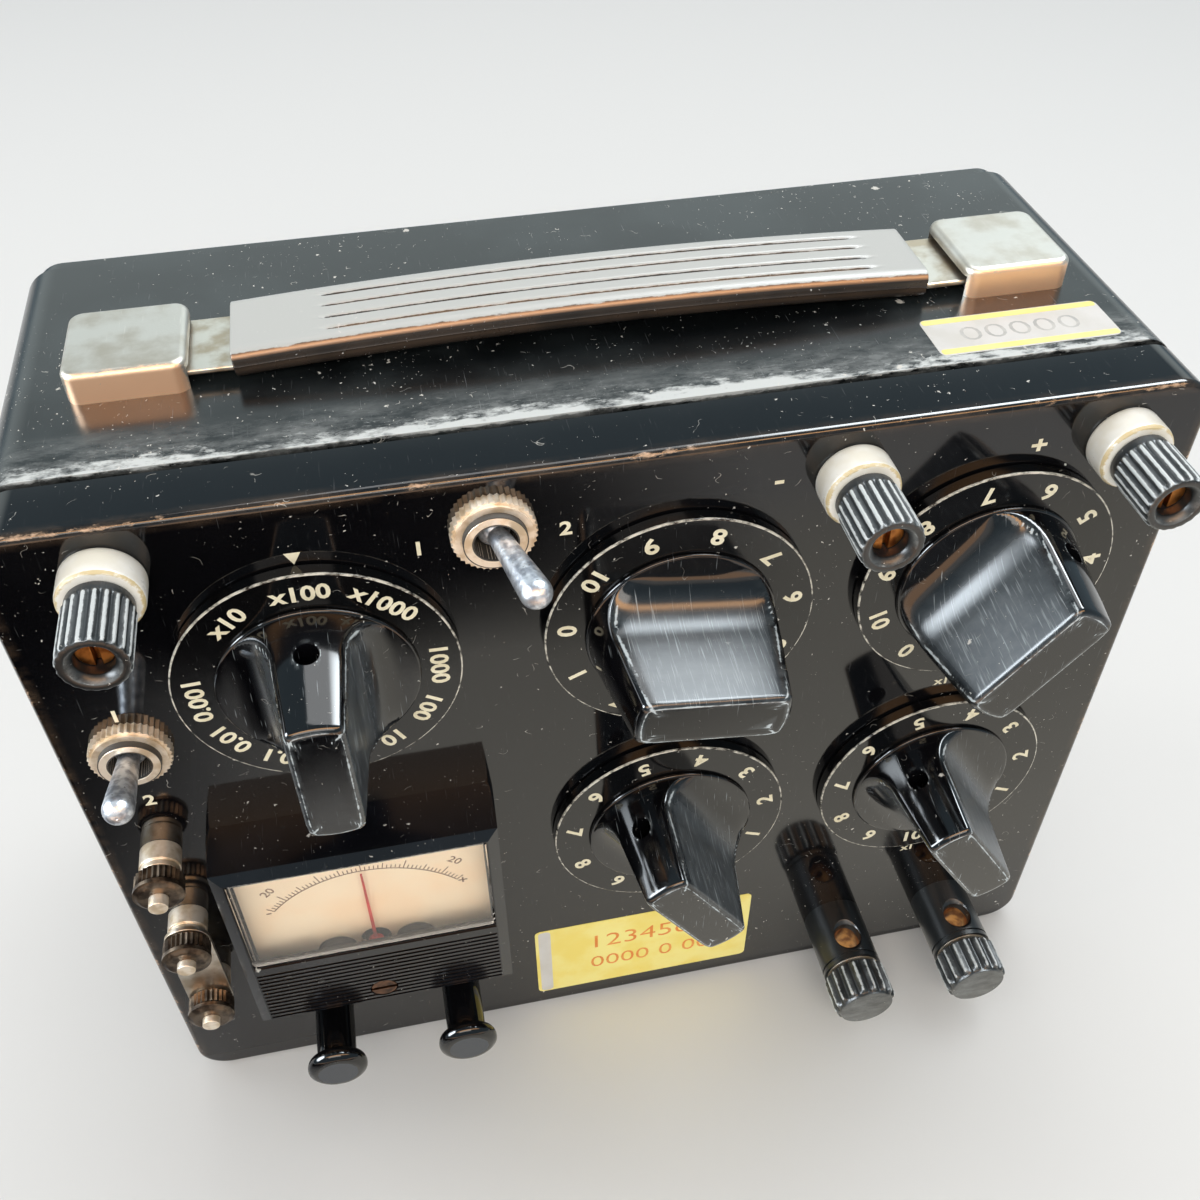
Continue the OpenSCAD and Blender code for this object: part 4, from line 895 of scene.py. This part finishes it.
# %% [markdown]
# ## Small terminals
# Three nickel terminals stand in a row at the left, two of them joined by a link. They are exact and
# small, so they only need eased edges and their plating.
# %% Small terminals
dressed("clamp_bases", nut_nickel, bevel=0.12)
for node in ("clamp_nut_top", "clamp_nut_middle", "clamp_nut_bottom"):
    dressed(node, brown_nickel, bevel=0.12)
dressed("link_strap", strap_steel, bevel=0.12)

# %% [markdown]
# ## Toggle switches
# The lever is a turned bat on a ball, leaned over about the switch's pivot. Its profile swells to the
# tip, which is a quarter circle with a small dimple left by the lathe's centre.
# %% Toggle levers
LEAN = math.radians(14.7)
TOGGLES = {"battery_toggle": ((-26.0, 174.0), (1, 0)), "range_toggle": ((-100.7, 130.0), (0, 1))}
lever_top = 22.0
bat_r, ball_r = 2.95, 3.2
pin_r, pin_half = 0.9, 3.65


def leaned(rows, at, way):
    """Turn points (x, y, h) about the pivot so that the axis leans by LEAN towards `way`."""
    x, y, h = np.moveaxis(rows, -1, 0)
    along = x * way[0] + y * way[1]
    shift = along * math.cos(LEAN) + h * math.sin(LEAN) - along
    return np.stack([x + shift * way[0] + at[0], y + shift * way[1] + at[1],
                     h * math.cos(LEAN) - along * math.sin(LEAN)], -1)


ball = np.linspace(-1.1, 0.86, 12)
tip = np.linspace(0, np.pi / 2 - 0.16, 9)
lever_profile = np.vstack([
    [[0, -5], [1.4, -5]], np.stack([ball_r * np.cos(ball), ball_r * np.sin(ball)], -1),
    [[2.05, 3.2], [2.15, 5], [2.4, 10], [2.75, 15]],
    np.stack([bat_r * np.cos(tip), lever_top - bat_r + bat_r * np.sin(tip)], -1),
    [[0.3, lever_top - 0.05], [0, lever_top - 0.3]]])
for body, (at, way) in TOGGLES.items():
    pin_a = full_turn(20)[None]
    reach = np.array([-pin_half, pin_half])[:, None]
    across = pin_r * np.cos(pin_a)
    pin = np.stack([across * way[0] + reach * way[1], across * way[1] + reach * way[0],
                    pin_r * np.sin(pin_a) + 0 * reach], -1)
    piece(body + "_bat", [skin(leaned(turned(lever_profile, columns=48), at, way)),
                          skin(leaned(pin, at, way))],
          pitted_nickel, body, [body + "_lever"])

# %% Toggle nuts and bushes
dressed("toggle_nuts", nut_nickel, bevel=0.1)
bush = np.array([[4.0, 0.2], [5.93, 0.2], [5.93, 4.15], [5.7, 4.45], [4.35, 4.45], [4.0, 4.1]])
piece("toggle_bushes", [skin(turned(bush, at, 72), loop=True) for at, way in TOGGLES.values()],
      nut_nickel, "root")

# %% [markdown]
# ## Press keys
# Two mushroom keys, turned from rod. The head's rim is round and polished, its flat top has gone matte.
# %% Press keys
BUTTONS = {"battery_button": "battery_key", "galvo_button": "galvo_key"}
head = eased([[4.75, 20], [6.3, 20.05], [7.2, 21.3], [7.1, 22.9], [5.7, 23.9], [4.6, 24]], 1.2, 4)
key_profile = np.vstack([[[0, -25], [2, -25], [2, -23.4], [3.4, -23.4], [3.4, -22.4], [2, -22.4],
                          [2, -13], [4.75, -13]], head, [[0, 24]]])
matte_top = np.where((key_profile[:, 1] > 23.9) & (key_profile[:, 0] < 4.7), 1.0, 0.0)
for node, body in BUTTONS.items():
    at = centre_of(node)
    piece(node + "_turned", [skin(turned(key_profile, at, 72), wear=matte_top[:, None])], key_resin,
          body, [node])

# %% [markdown]
# Under each key sits a coil spring. A wire of radius w follows the helix (R cos t, R sin t, p t); its
# ring of points lies in the plane of the radius and the axis. The real spring shortens as the key goes
# down.
# %% Key springs
SPRING_TURNS = 5
wire_r, coil_r = 0.45, 3.7
for node, body in BUTTONS.items():
    at = centre_of(node)
    spring_low, spring_high = heights_of(node + "_spring")
    t = np.linspace(0, 1, SPRING_TURNS * 18)[:, None]
    ring = full_turn(8)[None]
    r = coil_r + wire_r * np.cos(ring)
    a = 2 * np.pi * SPRING_TURNS * t
    h = spring_low + wire_r + (spring_high - spring_low - 2 * wire_r) * t + wire_r * np.sin(ring)
    coil = piece(node + "_coil", [skin(np.stack([at[0] + r * np.cos(a), at[1] + r * np.sin(a), h], -1))],
                 bright_steel, None, [node + "_spring"])
    start, end = to_frame([[*at, spring_low], [*at, spring_high]])
    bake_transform(coil)

# %% [markdown]
# ## The galvanometer
# The housing with its bevelled front and ribs is exact. The window is a clear block with its front
# edges broken, and the scale's print is thin raised paint: an arc of ticks two degrees apart, longer
# at every tenth and every twentieth degree, and its figures.
# %% Housing and window
dressed("meter_case", meter_resin, bevel=0.22)
window_low, window_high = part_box("meter_window")
window_size = (window_high - window_low) / MM
window_h0, window_h1 = heights_of("meter_window")
block = [[0, window_h0], [0, window_h1 - 0.35], [0.35, window_h1]]
piece("meter_glass", [skin(plate(window_size.x, window_size.z, 0.8, block, centre_of("meter_window")))],
      clear_acrylic, "root", ["meter_window"])
dressed("meter_scale", scale_paint)
dressed("meter_zero_screw", red_copper, bevel=0.1)
dressed("meter_movement", black_works, bevel=0.1)

# %% Scale print
swing = next(joint for joint in frame["joints"] if joint["name"] == "pointer_swing")
pivot = np.array([swing["pos_m"][0], swing["pos_m"][2]]) / MM
scale_top = heights_of("meter_scale")[1]
ARC_R, NUMBER_R = 26.7, 32.2
ARC_ENDS = 50
TICK_W, ARC_W, PRINT_T = 0.22, 0.25, 0.05


def bar(start, end, width, low, high):
    """A thin straight bar between two plan points: a box of that width and height."""
    start, end = np.array(start, float), np.array(end, float)
    along = (end - start) / np.linalg.norm(end - start)
    side = np.array([-along[1], along[0]]) * width / 2
    corners = np.array([start - side, end - side, end + side, start + side])
    return skin(np.stack([np.column_stack([corners, np.full(4, h)]) for h in (low, high)]))


def arc_point(radius, degrees):
    """Plan point at an angle clockwise from up round the pivot."""
    a = math.radians(degrees)
    return pivot + radius * np.array([math.sin(a), math.cos(a)])


def tick_length(angle):
    """Long at whole twenties of degrees, middling at tens, else short."""
    return 2.8 if angle % 20 == 0 else 2.0 if angle % 10 == 0 else 1.3


ticks = [bar(arc_point(ARC_R, angle), arc_point(ARC_R + tick_length(angle), angle), TICK_W,
             scale_top - 0.01, scale_top + PRINT_T) for angle in range(-ARC_ENDS, ARC_ENDS + 1, 2)]
sweep = np.radians(np.linspace(-ARC_ENDS, ARC_ENDS, 61))[:, None]
section = np.array([[0, -0.01], [ARC_W, -0.01], [ARC_W, PRINT_T], [0, PRINT_T]])
arc = np.stack([pivot[0] + (ARC_R - 0.1 + section[:, 0]) * np.sin(sweep),
                pivot[1] + (ARC_R - 0.1 + section[:, 0]) * np.cos(sweep),
                scale_top + section[:, 1] + 0 * sweep], -1)
numbers = [(text, *arc_point(NUMBER_R, angle), 3.0, angle)
           for text, angle in (("20", -40), ("10", -20), ("0", 0), ("10", 20), ("20", 40))]
numbers += [("-", pivot[0] - 21.8, pivot[1] + 16.6, 4.0, 0), ("+", pivot[0] + 21.8, pivot[1] + 16.6, 4.0, 0)]
piece("scale_marks", ticks + [skin(arc)] + figures(numbers, scale_top, bold=0.004), scale_print, "root")

# %% [markdown]
# The pointer is a thin tapered blade on a small hub, with the moving coil below it. They are separate
# surfaces that turn together, so each can have its own finish.
# %% Pointer and coil
pointer_h = 8.0
pointer_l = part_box("meter_pointer")[1].z / MM - pivot[1]
run = np.linspace(-5.4, pointer_l, 20)[:, None]
half = np.where(run > 3, 0.42 - 0.2 * run / pointer_l, np.where(run > -1.5, 0.55, 0.75))
edge = np.array([[-1, -0.2], [1, -0.2], [1, 0.2], [-1, 0.2]])
blade = np.stack([pivot[0] + edge[:, 0] * half, pivot[1] + run + 0 * edge[:, 0],
                  pointer_h + edge[:, 1] + 0 * run], -1)
hub = eased([[0, 7.3], [1.8, 7.3], [1.8, 8.7], [0.5, 8.85], [0, 8.85]], 0.2)
piece("pointer_blade", [skin(blade), skin(turned(hub, pivot, 40))], pointer_paint, "pointer",
      ["meter_pointer"])
coil_outer, coil_t, coil_half = np.array([6.0, 8.9]), 1.6, 1.5
frame_a = full_turn(48)[:, None]
square = np.maximum(np.abs(np.cos(frame_a)), np.abs(np.sin(frame_a)))
tube = np.array([[0, -1], [0, 1], [1, 1], [1, -1]]) * [coil_t, coil_half]
side_x = (coil_outer[0] - tube[:, 0]) * np.cos(frame_a) / square
side_h = (coil_outer[1] - tube[:, 0]) * np.sin(frame_a) / square - 11.5
winding = np.stack([pivot[0] + side_x, pivot[1] + tube[:, 1] + 0 * frame_a, side_h], -1)
staff = eased([[0, -2.6], [0.6, -2.6], [0.6, 7.35], [0, 7.35]], 0.1)
piece("pointer_coil", [skin(winding, loop=True), skin(turned(staff, pivot, 24))], red_copper, "pointer",
      ["meter_pointer"])

# %% [markdown]
# ## The handle
# The grip is one sweep along a shallow arch. Its section is a rectangle with round corners, a fine
# row of points along the top, and a small seam ridge at half height. Four grooves are pressed into the
# top and fade out before the ends: depth * exp(-((v - g) / width)^2) times a soft window in x. The top,
# all but the grooves, is painted light grey as dust together with painted sky reflection, and its front
# edge carries a painted copper highlight.
# %% Grip
GRIP_T = 5.8
GRIP_R = 2.2
GRIP_BASE = 0.6
GRIP_RISE = 2.2
GROOVES_AT = (-6.4, -2.3, 2.1, 6.1)
GROOVE_DEPTH, GROOVE_W = 0.7, 0.42
GROOVES_FROM, GROOVES_TO, GROOVES_FADE = -53, 60, 3
# height and width of the painted copper highlight along the grip's front edge
COPPER_HIGHLIGHT_Z, COPPER_HIGHLIGHT_W = 2.0, 0.26
grip_low, grip_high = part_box("handle_grip")
grip_l = round((grip_high.x - grip_low.x) / MM)
grip_w = (grip_high.y - grip_low.y) / MM
handle_x = (grip_high.x + grip_low.x) / 2 / MM
arch_r = (grip_l ** 2 / 4 + GRIP_RISE ** 2) / (2 * GRIP_RISE)


def over_case(x, v, z):
    """Handle coordinates (along, towards the back, above the case's top) to panel millimetres."""
    x, v, z = np.broadcast_arrays(x, v, z)
    return np.stack([x + handle_x, CASE_TOP + z, PANEL_Y / MM - v], -1)


def arch(x):
    """Rise of the handle's circle over its ends."""
    flat = np.clip(np.abs(x), 0, grip_l / 2)
    return np.sqrt(arch_r ** 2 - flat ** 2) - arch_r + GRIP_RISE


quarter = np.linspace(0, np.pi / 2, 6)
core_v, core_z = grip_w / 2 - GRIP_R, GRIP_T / 2 - GRIP_R
top_v = np.linspace(core_v, -core_v, 60)
section = np.vstack([
    np.stack([core_v + GRIP_R * np.cos(quarter), core_z + GRIP_R * np.sin(quarter)], -1),
    np.stack([top_v[1:-1], np.full(58, GRIP_T / 2)], -1),
    np.stack([-core_v - GRIP_R * np.sin(quarter), core_z + GRIP_R * np.cos(quarter)], -1),
    [[-grip_w / 2, 0.25], [-grip_w / 2 - 0.15, 0], [-grip_w / 2, -0.25]],
    np.stack([-core_v - GRIP_R * np.cos(quarter), -core_z - GRIP_R * np.sin(quarter)], -1),
    np.stack([core_v + GRIP_R * np.sin(quarter), -core_z - GRIP_R * np.cos(quarter)], -1),
    [[grip_w / 2, -0.25], [grip_w / 2 + 0.15, 0], [grip_w / 2, 0.25]]])
end_x = grip_l / 2 - 0.4
x = np.concatenate([[-end_x - 0.35, -end_x - 0.2], np.linspace(-end_x, end_x, 121), [end_x + 0.2,
                                                                                    end_x + 0.35]])
inset = np.concatenate([[0.45, 0.12], np.zeros(121), [0.12, 0.45]])[:, None]
size = 1 - inset / (GRIP_T / 2)
v = section[None, :, 0] * (1 - inset / (grip_w / 2))
z = section[None, :, 1] * size
window = np.clip((x[:, None] - GROOVES_FROM) / GROOVES_FADE, 0, 1)
window = window * np.clip((GROOVES_TO - x[:, None]) / GROOVES_FADE, 0, 1)
flat_top = section[None, :, 1] > GRIP_T / 2 - 0.01
pressed = sum(np.exp(-((v - groove) / GROOVE_W) ** 2) for groove in GROOVES_AT) * window * flat_top
z = z - GROOVE_DEPTH * pressed
slope = -x[:, None] / arch_r
grip_rows = over_case(x[:, None] - slope * (z + 3), v, arch(x[:, None]) + GRIP_BASE + GRIP_T / 2 + z)
# the top, all but the grooves, painted light: dust together with painted sky reflection
painted_sky_sheen_and_dust = np.clip((section[None, :, 1] - 2.2) / 0.6, 0, 1) * (1 - np.clip(1.3 * pressed, 0, 1))
# painted copper highlight along the front upper rounding
painted_copper_highlight = np.exp(-((section[None, :, 1] - COPPER_HIGHLIGHT_Z) / COPPER_HIGHLIGHT_W) ** 2) * (section[None, :, 0] < 0)
piece("ribbed_grip", [skin(grip_rows, wear=painted_sky_sheen_and_dust, film=painted_copper_highlight)], grip_vinyl, "handle",
      ["handle_grip"], sharp=50)

# %% [markdown]
# The strap runs from under each cap into the grip. Its two visible stretches are drawn along the
# handle's arch; the real strap bows when the grip is lifted.
# %% Strap, caps and anchors
STRAP_Z, STRAP_T = 2.6, 1.2
STRAP_FROM = 62
CAP_X = 89.3
strap_w = (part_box("handle_strap")[1].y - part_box("handle_strap")[0].y) / MM
strap_edge, _ = rounded(strap_w, STRAP_T, 0.45, 3)
for side, name in ((-1, "left_strap"), (1, "right_strap")):
    x = side * np.linspace(STRAP_FROM, CAP_X + 7, 60)[:, None]
    rows = over_case(x, strap_edge[None, :, 0], arch(x) + STRAP_Z + strap_edge[None, :, 1])
    strap = piece(name, [skin(rows)], strap_steel, None, ["handle_strap"])
    start, end = to_frame(over_case(np.array([side * (CAP_X - 3), side * (grip_l / 2 + 0.5)]), 0.0,
                                    STRAP_Z))
    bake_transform(strap)
dressed("handle_caps", cap_nickel)
dressed("handle_anchors", bright_steel)

# %% [markdown]
# ## Stickers
# Two paper labels: a yellow one at the panel's lower edge, and a white one with yellow edges on the
# case's top. Each is a plate a tenth of a millimetre thick with slightly round corners, and holds rows
# of plain digits, stamped or embossed.
# %% Labels
YELLOW_AT = (4.75, 21.2)
WHITE_AT = (85, -23.9)
PAPER_T = 0.12
paper = [[0, -0.02], [0, 0.08], [0.1, PAPER_T]]
strip = [[0, 0.1], [0, 0.16]]
piece("yellow_sticker", [skin(plate(58.1, 30, 1.5, paper, YELLOW_AT))], yellow_label, "root")
margin_at = (YELLOW_AT[0] - 26.6, YELLOW_AT[1])
piece("sticker_margin", [skin(plate(3.2, 29, 1.2, strip, margin_at))], white_label, "root")


def on_top(rows):
    """A plate drawn in (x, back, thickness) over the case's top, in panel millimetres."""
    return over_case(rows[..., 0] - handle_x, rows[..., 1], rows[..., 2])


piece("white_sticker", [skin(on_top(plate(38.4, 12.9, 1.5, paper, WHITE_AT)))], white_label, "root")
# two rows stamped in orange, and one row embossed upside down on the white label, its relief given as
# painted grey shade
digits = [("1234567", YELLOW_AT[0] + 2, YELLOW_AT[1] + 5.5, 8.5, 0),
          ("0000 0 00", YELLOW_AT[0] + 2, YELLOW_AT[1] - 4.5, 7.5, 0)]
piece("yellow_digits", figures(digits, PAPER_T, thick=0.03, bold=-0.006), stamp_ink, "root")
flat_row = figures([("00000", *WHITE_AT, 7.0, 180)], PAPER_T, thick=0.03, bold=-0.012, wide=1.5)
embossed = [(on_top(points), faces, paint) for points, faces, paint in flat_row]
piece("white_digits", embossed, embossing_painted_shade, "root")
piece("sticker_edges", [skin(on_top(plate(37.6, 1.7, 0.6, strip, (WHITE_AT[0], v))))
                        for v in (-29.2, -18.6)], yellow_label, "root")

# %% [markdown]
# ## Inside
# What the case hides is finished too, so that the object is whole when it comes apart: laminate board
# with wound spools, fibre wafers, brass spindles, cells in card jackets.
# %% Inner pieces
inner = {"resistor_board": laminate_board, "resistor_bobbins": glazed_spool,
         "multiply_switch": laminate_board, "decade_switches": laminate_board,
         "toggle_bodies": box_fibre, "button_guides": key_resin, "key_contacts": old_brass,
         "battery_box": box_fibre, "batteries": cell_jacket}
inner.update({name + "_spindle": old_brass for name in DIALS})
for node, finish in inner.items():
    nodes[node].data.materials.clear()
    nodes[node].data.materials.append(finish)
print("inner pieces:", len(inner))

# %% [markdown]
# ## Floor and light
# The object stands on a plain pale floor under soft light. Boxes behind, at the left and in front open
# up its sides, and the front one is slightly warm. The world lights everything a little. It is nearly
# white to the camera, a dim blue-grey sky in what is glossy, and bright behind clear plastic, so that
# the meter's scale is seen as well lit as in life.
# %% Floor
floor_material, tree = blank("pale_floor")
floor_shader = add(tree, "ShaderNodeBsdfPrincipled", {"Base Color": paint_colour("e2e2e0"),
                                                      "Roughness": 0.7})
add(tree, "ShaderNodeOutputMaterial", {"Surface": floor_shader.outputs[0]})
FLOOR_HALF = 4.0
floor_mesh = bpy.data.meshes.new("floor")
floor_mesh.from_pydata([(-FLOOR_HALF, -FLOOR_HALF, 0), (FLOOR_HALF, -FLOOR_HALF, 0),
                        (FLOOR_HALF, FLOOR_HALF, 0), (-FLOOR_HALF, FLOOR_HALF, 0)], [], [(0, 1, 2, 3)])
floor_mesh.materials.append(floor_material)
linked("floor", floor_mesh)
print("the floor is", 2 * FLOOR_HALF, "m wide")

# %% World
world = bpy.data.worlds.new("studio")
world.use_nodes = True
bpy.context.scene.world = world
tree = world.node_tree
tree.nodes.clear()
path = add(tree, "ShaderNodeLightPath").outputs
sky_tint = (0.6, 0.62, 0.64, 1)
for ray, colour in (("Is Camera Ray", (0.9, 0.92, 0.92, 1)), ("Is Glossy Ray", (0.28, 0.38, 0.44, 1)),
                    ("Is Transmission Ray", (2.0, 1.98, 1.9, 1))):
    sky_tint = add(tree, "ShaderNodeMix", {0: path[ray], 6: sky_tint, 7: colour},
                   data_type="RGBA").outputs[2]
sky = add(tree, "ShaderNodeBackground", {"Color": sky_tint, "Strength": 1.0})
add(tree, "ShaderNodeOutputWorld", {"Surface": sky.outputs[0]})
print("world nodes:", len(tree.nodes))

# %% Softboxes
AIM = (0, 0, 0.1)


def softbox(name, at, size, radiance, tint="ffffff"):
    """A rectangular lamp that faces the object. Its power is radiance times pi times its area."""
    lamp = bpy.data.lights.new(name, "AREA")
    lamp.color = paint_colour(tint)[:3]
    lamp.shape = "RECTANGLE"
    lamp.size, lamp.size_y = size
    lamp.energy = radiance * math.pi * size[0] * size[1]
    thing = linked(name, lamp)
    thing.location = at
    towards = Vector(AIM) - Vector(at)
    thing.rotation_euler = towards.to_track_quat("-Z", "Y").to_euler()


softbox("back_box", (0.2, 0.4, 1.3), (0.9, 0.6), 3.0)
softbox("left_box", (-1.1, 0.55, 0.55), (0.5, 0.5), 3.0)
softbox("front_box", (-0.2, -1.3, 1.25), (1.2, 0.8), 4.2, "fff6ec")
print("lamps:", len(bpy.data.lights))

# %% [markdown]
# A photographer shapes reflections with cards. On the floor in front, a grey one lifts the panel's
# right half, two black ones keep its left deep black, and a warm one tints its foot. A warm strip high
# in front puts copper gleams on what faces it. A low card behind greys the case's top, and two bright
# ones, overhead and at the left, fill the knobs' flanks. Only reflections see them, and their cover
# fades out towards all sides, so that they leave no hard line.
# %% Cards
CARD_CELLS = 16


def card(name, corner, along, up, colour, strength):
    """A rectangle of light or dark: point corner + u along + v up, its cover 4 u (1 - u) times the same
    in v, doubled and cut at 1."""
    material, tree = blank(name)
    share = add(tree, "ShaderNodeAttribute", attribute_name="cover").outputs["Fac"]
    glow = add(tree, "ShaderNodeEmission", {"Color": paint_colour(colour), "Strength": strength})
    clear = add(tree, "ShaderNodeBsdfTransparent")
    mixed = add(tree, "ShaderNodeMixShader", {0: share, 1: clear.outputs[0], 2: glow.outputs[0]})
    add(tree, "ShaderNodeOutputMaterial", {"Surface": mixed.outputs[0]})
    steps = np.linspace(0, 1, CARD_CELLS + 1)
    u, v = np.meshgrid(steps, steps, indexing="ij")
    points = np.array(corner) + u[..., None] * np.array(along) + v[..., None] * np.array(up)
    i, j = np.meshgrid(np.arange(CARD_CELLS), np.arange(CARD_CELLS), indexing="ij")
    a = i * (CARD_CELLS + 1) + j
    faces = np.stack([a, a + CARD_CELLS + 1, a + CARD_CELLS + 2, a + 1], -1).reshape(-1, 4).tolist()
    mesh = bpy.data.meshes.new(name)
    mesh.from_pydata(points.reshape(-1, 3), [], faces)
    cover = np.clip(2 * (4 * u * (1 - u)) * (4 * v * (1 - v)), 0, 1)
    mesh.attributes.new("cover", "FLOAT", "POINT").data.foreach_set("value", cover.ravel())
    mesh.materials.append(material)
    thing = linked(name, mesh)
    for ray in ("camera", "diffuse", "transmission", "shadow"):
        setattr(thing, "visible_" + ray, False)


card("grey_card", (-0.12, -0.25, 0.003), (0.75, 0, 0), (0, 0.21, 0), "f6f1e4", 1.15)
card("low_warm_card", (-0.6, -0.75, 0.004), (1.0, 0, 0), (0, 0.48, 0), "ffcfa8", 2.2)
card("front_black_card", (-0.5, -0.32, 0.005), (0.6, 0, 0), (0, 0.14, 0), "030304", 1.0)
card("side_black_card", (-0.6, -0.3, 0.006), (0.52, 0, 0), (0, 0.27, 0), "030304", 1.0)
card("warm_strip", (-0.9, -0.72, 0.78), (2.0, 0, 0), (0, 0.12, 0.22), "ffc48c", 9.5)
card("horizon_card", (-1.4, 0.95, 0.3), (3.0, 0, 0), (0, 0, 0.62), "dce9ea", 1.5)
card("sky_card", (0.28, -0.15, 1.3), (1.0, 0, 0), (0, 0.8, 0), "e4edf2", 26.0)
card("left_card", (-1.1, -0.6, 0.25), (0.1, 0.8, 0), (0.1, 0, 0.8), "e2ebf2", 30.0)

# %% [markdown]
# ## The camera
# The view is the photograph's: a phone held above the front edge, looking down and a little from the
# left, slightly rolled. Its place and turn were fitted to the case's corners at their real size.
# %% Camera
CAMERA_AT = Vector((-0.04115, -0.22207, 0.32316))
TURN_AXIS = Vector((2.32929640, -0.242031434, 0.0937018082))
FOCAL_PX = 1260.8
IMAGE_PX = 1200
camera_data = bpy.data.cameras.new("camera")
camera_data.sensor_width = 36
camera_data.lens = FOCAL_PX / IMAGE_PX * camera_data.sensor_width
camera_data.clip_start = 0.01
camera = linked("camera", camera_data)
to_view = Matrix.Rotation(TURN_AXIS.length, 3, TURN_AXIS.normalized())
axes = Matrix((to_view[0], -to_view[1], -to_view[2])).transposed()
camera.matrix_world = Matrix.Translation(CAMERA_AT) @ axes.to_4x4()
bpy.context.scene.camera = camera
bpy.context.scene.view_settings.view_transform = "Standard"
print("focal length in mm:", round(camera_data.lens, 1))

# %% [markdown]
# ## Update
# The view layer is brought up to date. The finished model must stay in the box of the solids.
# %% Update
bpy.context.view_layer.update()
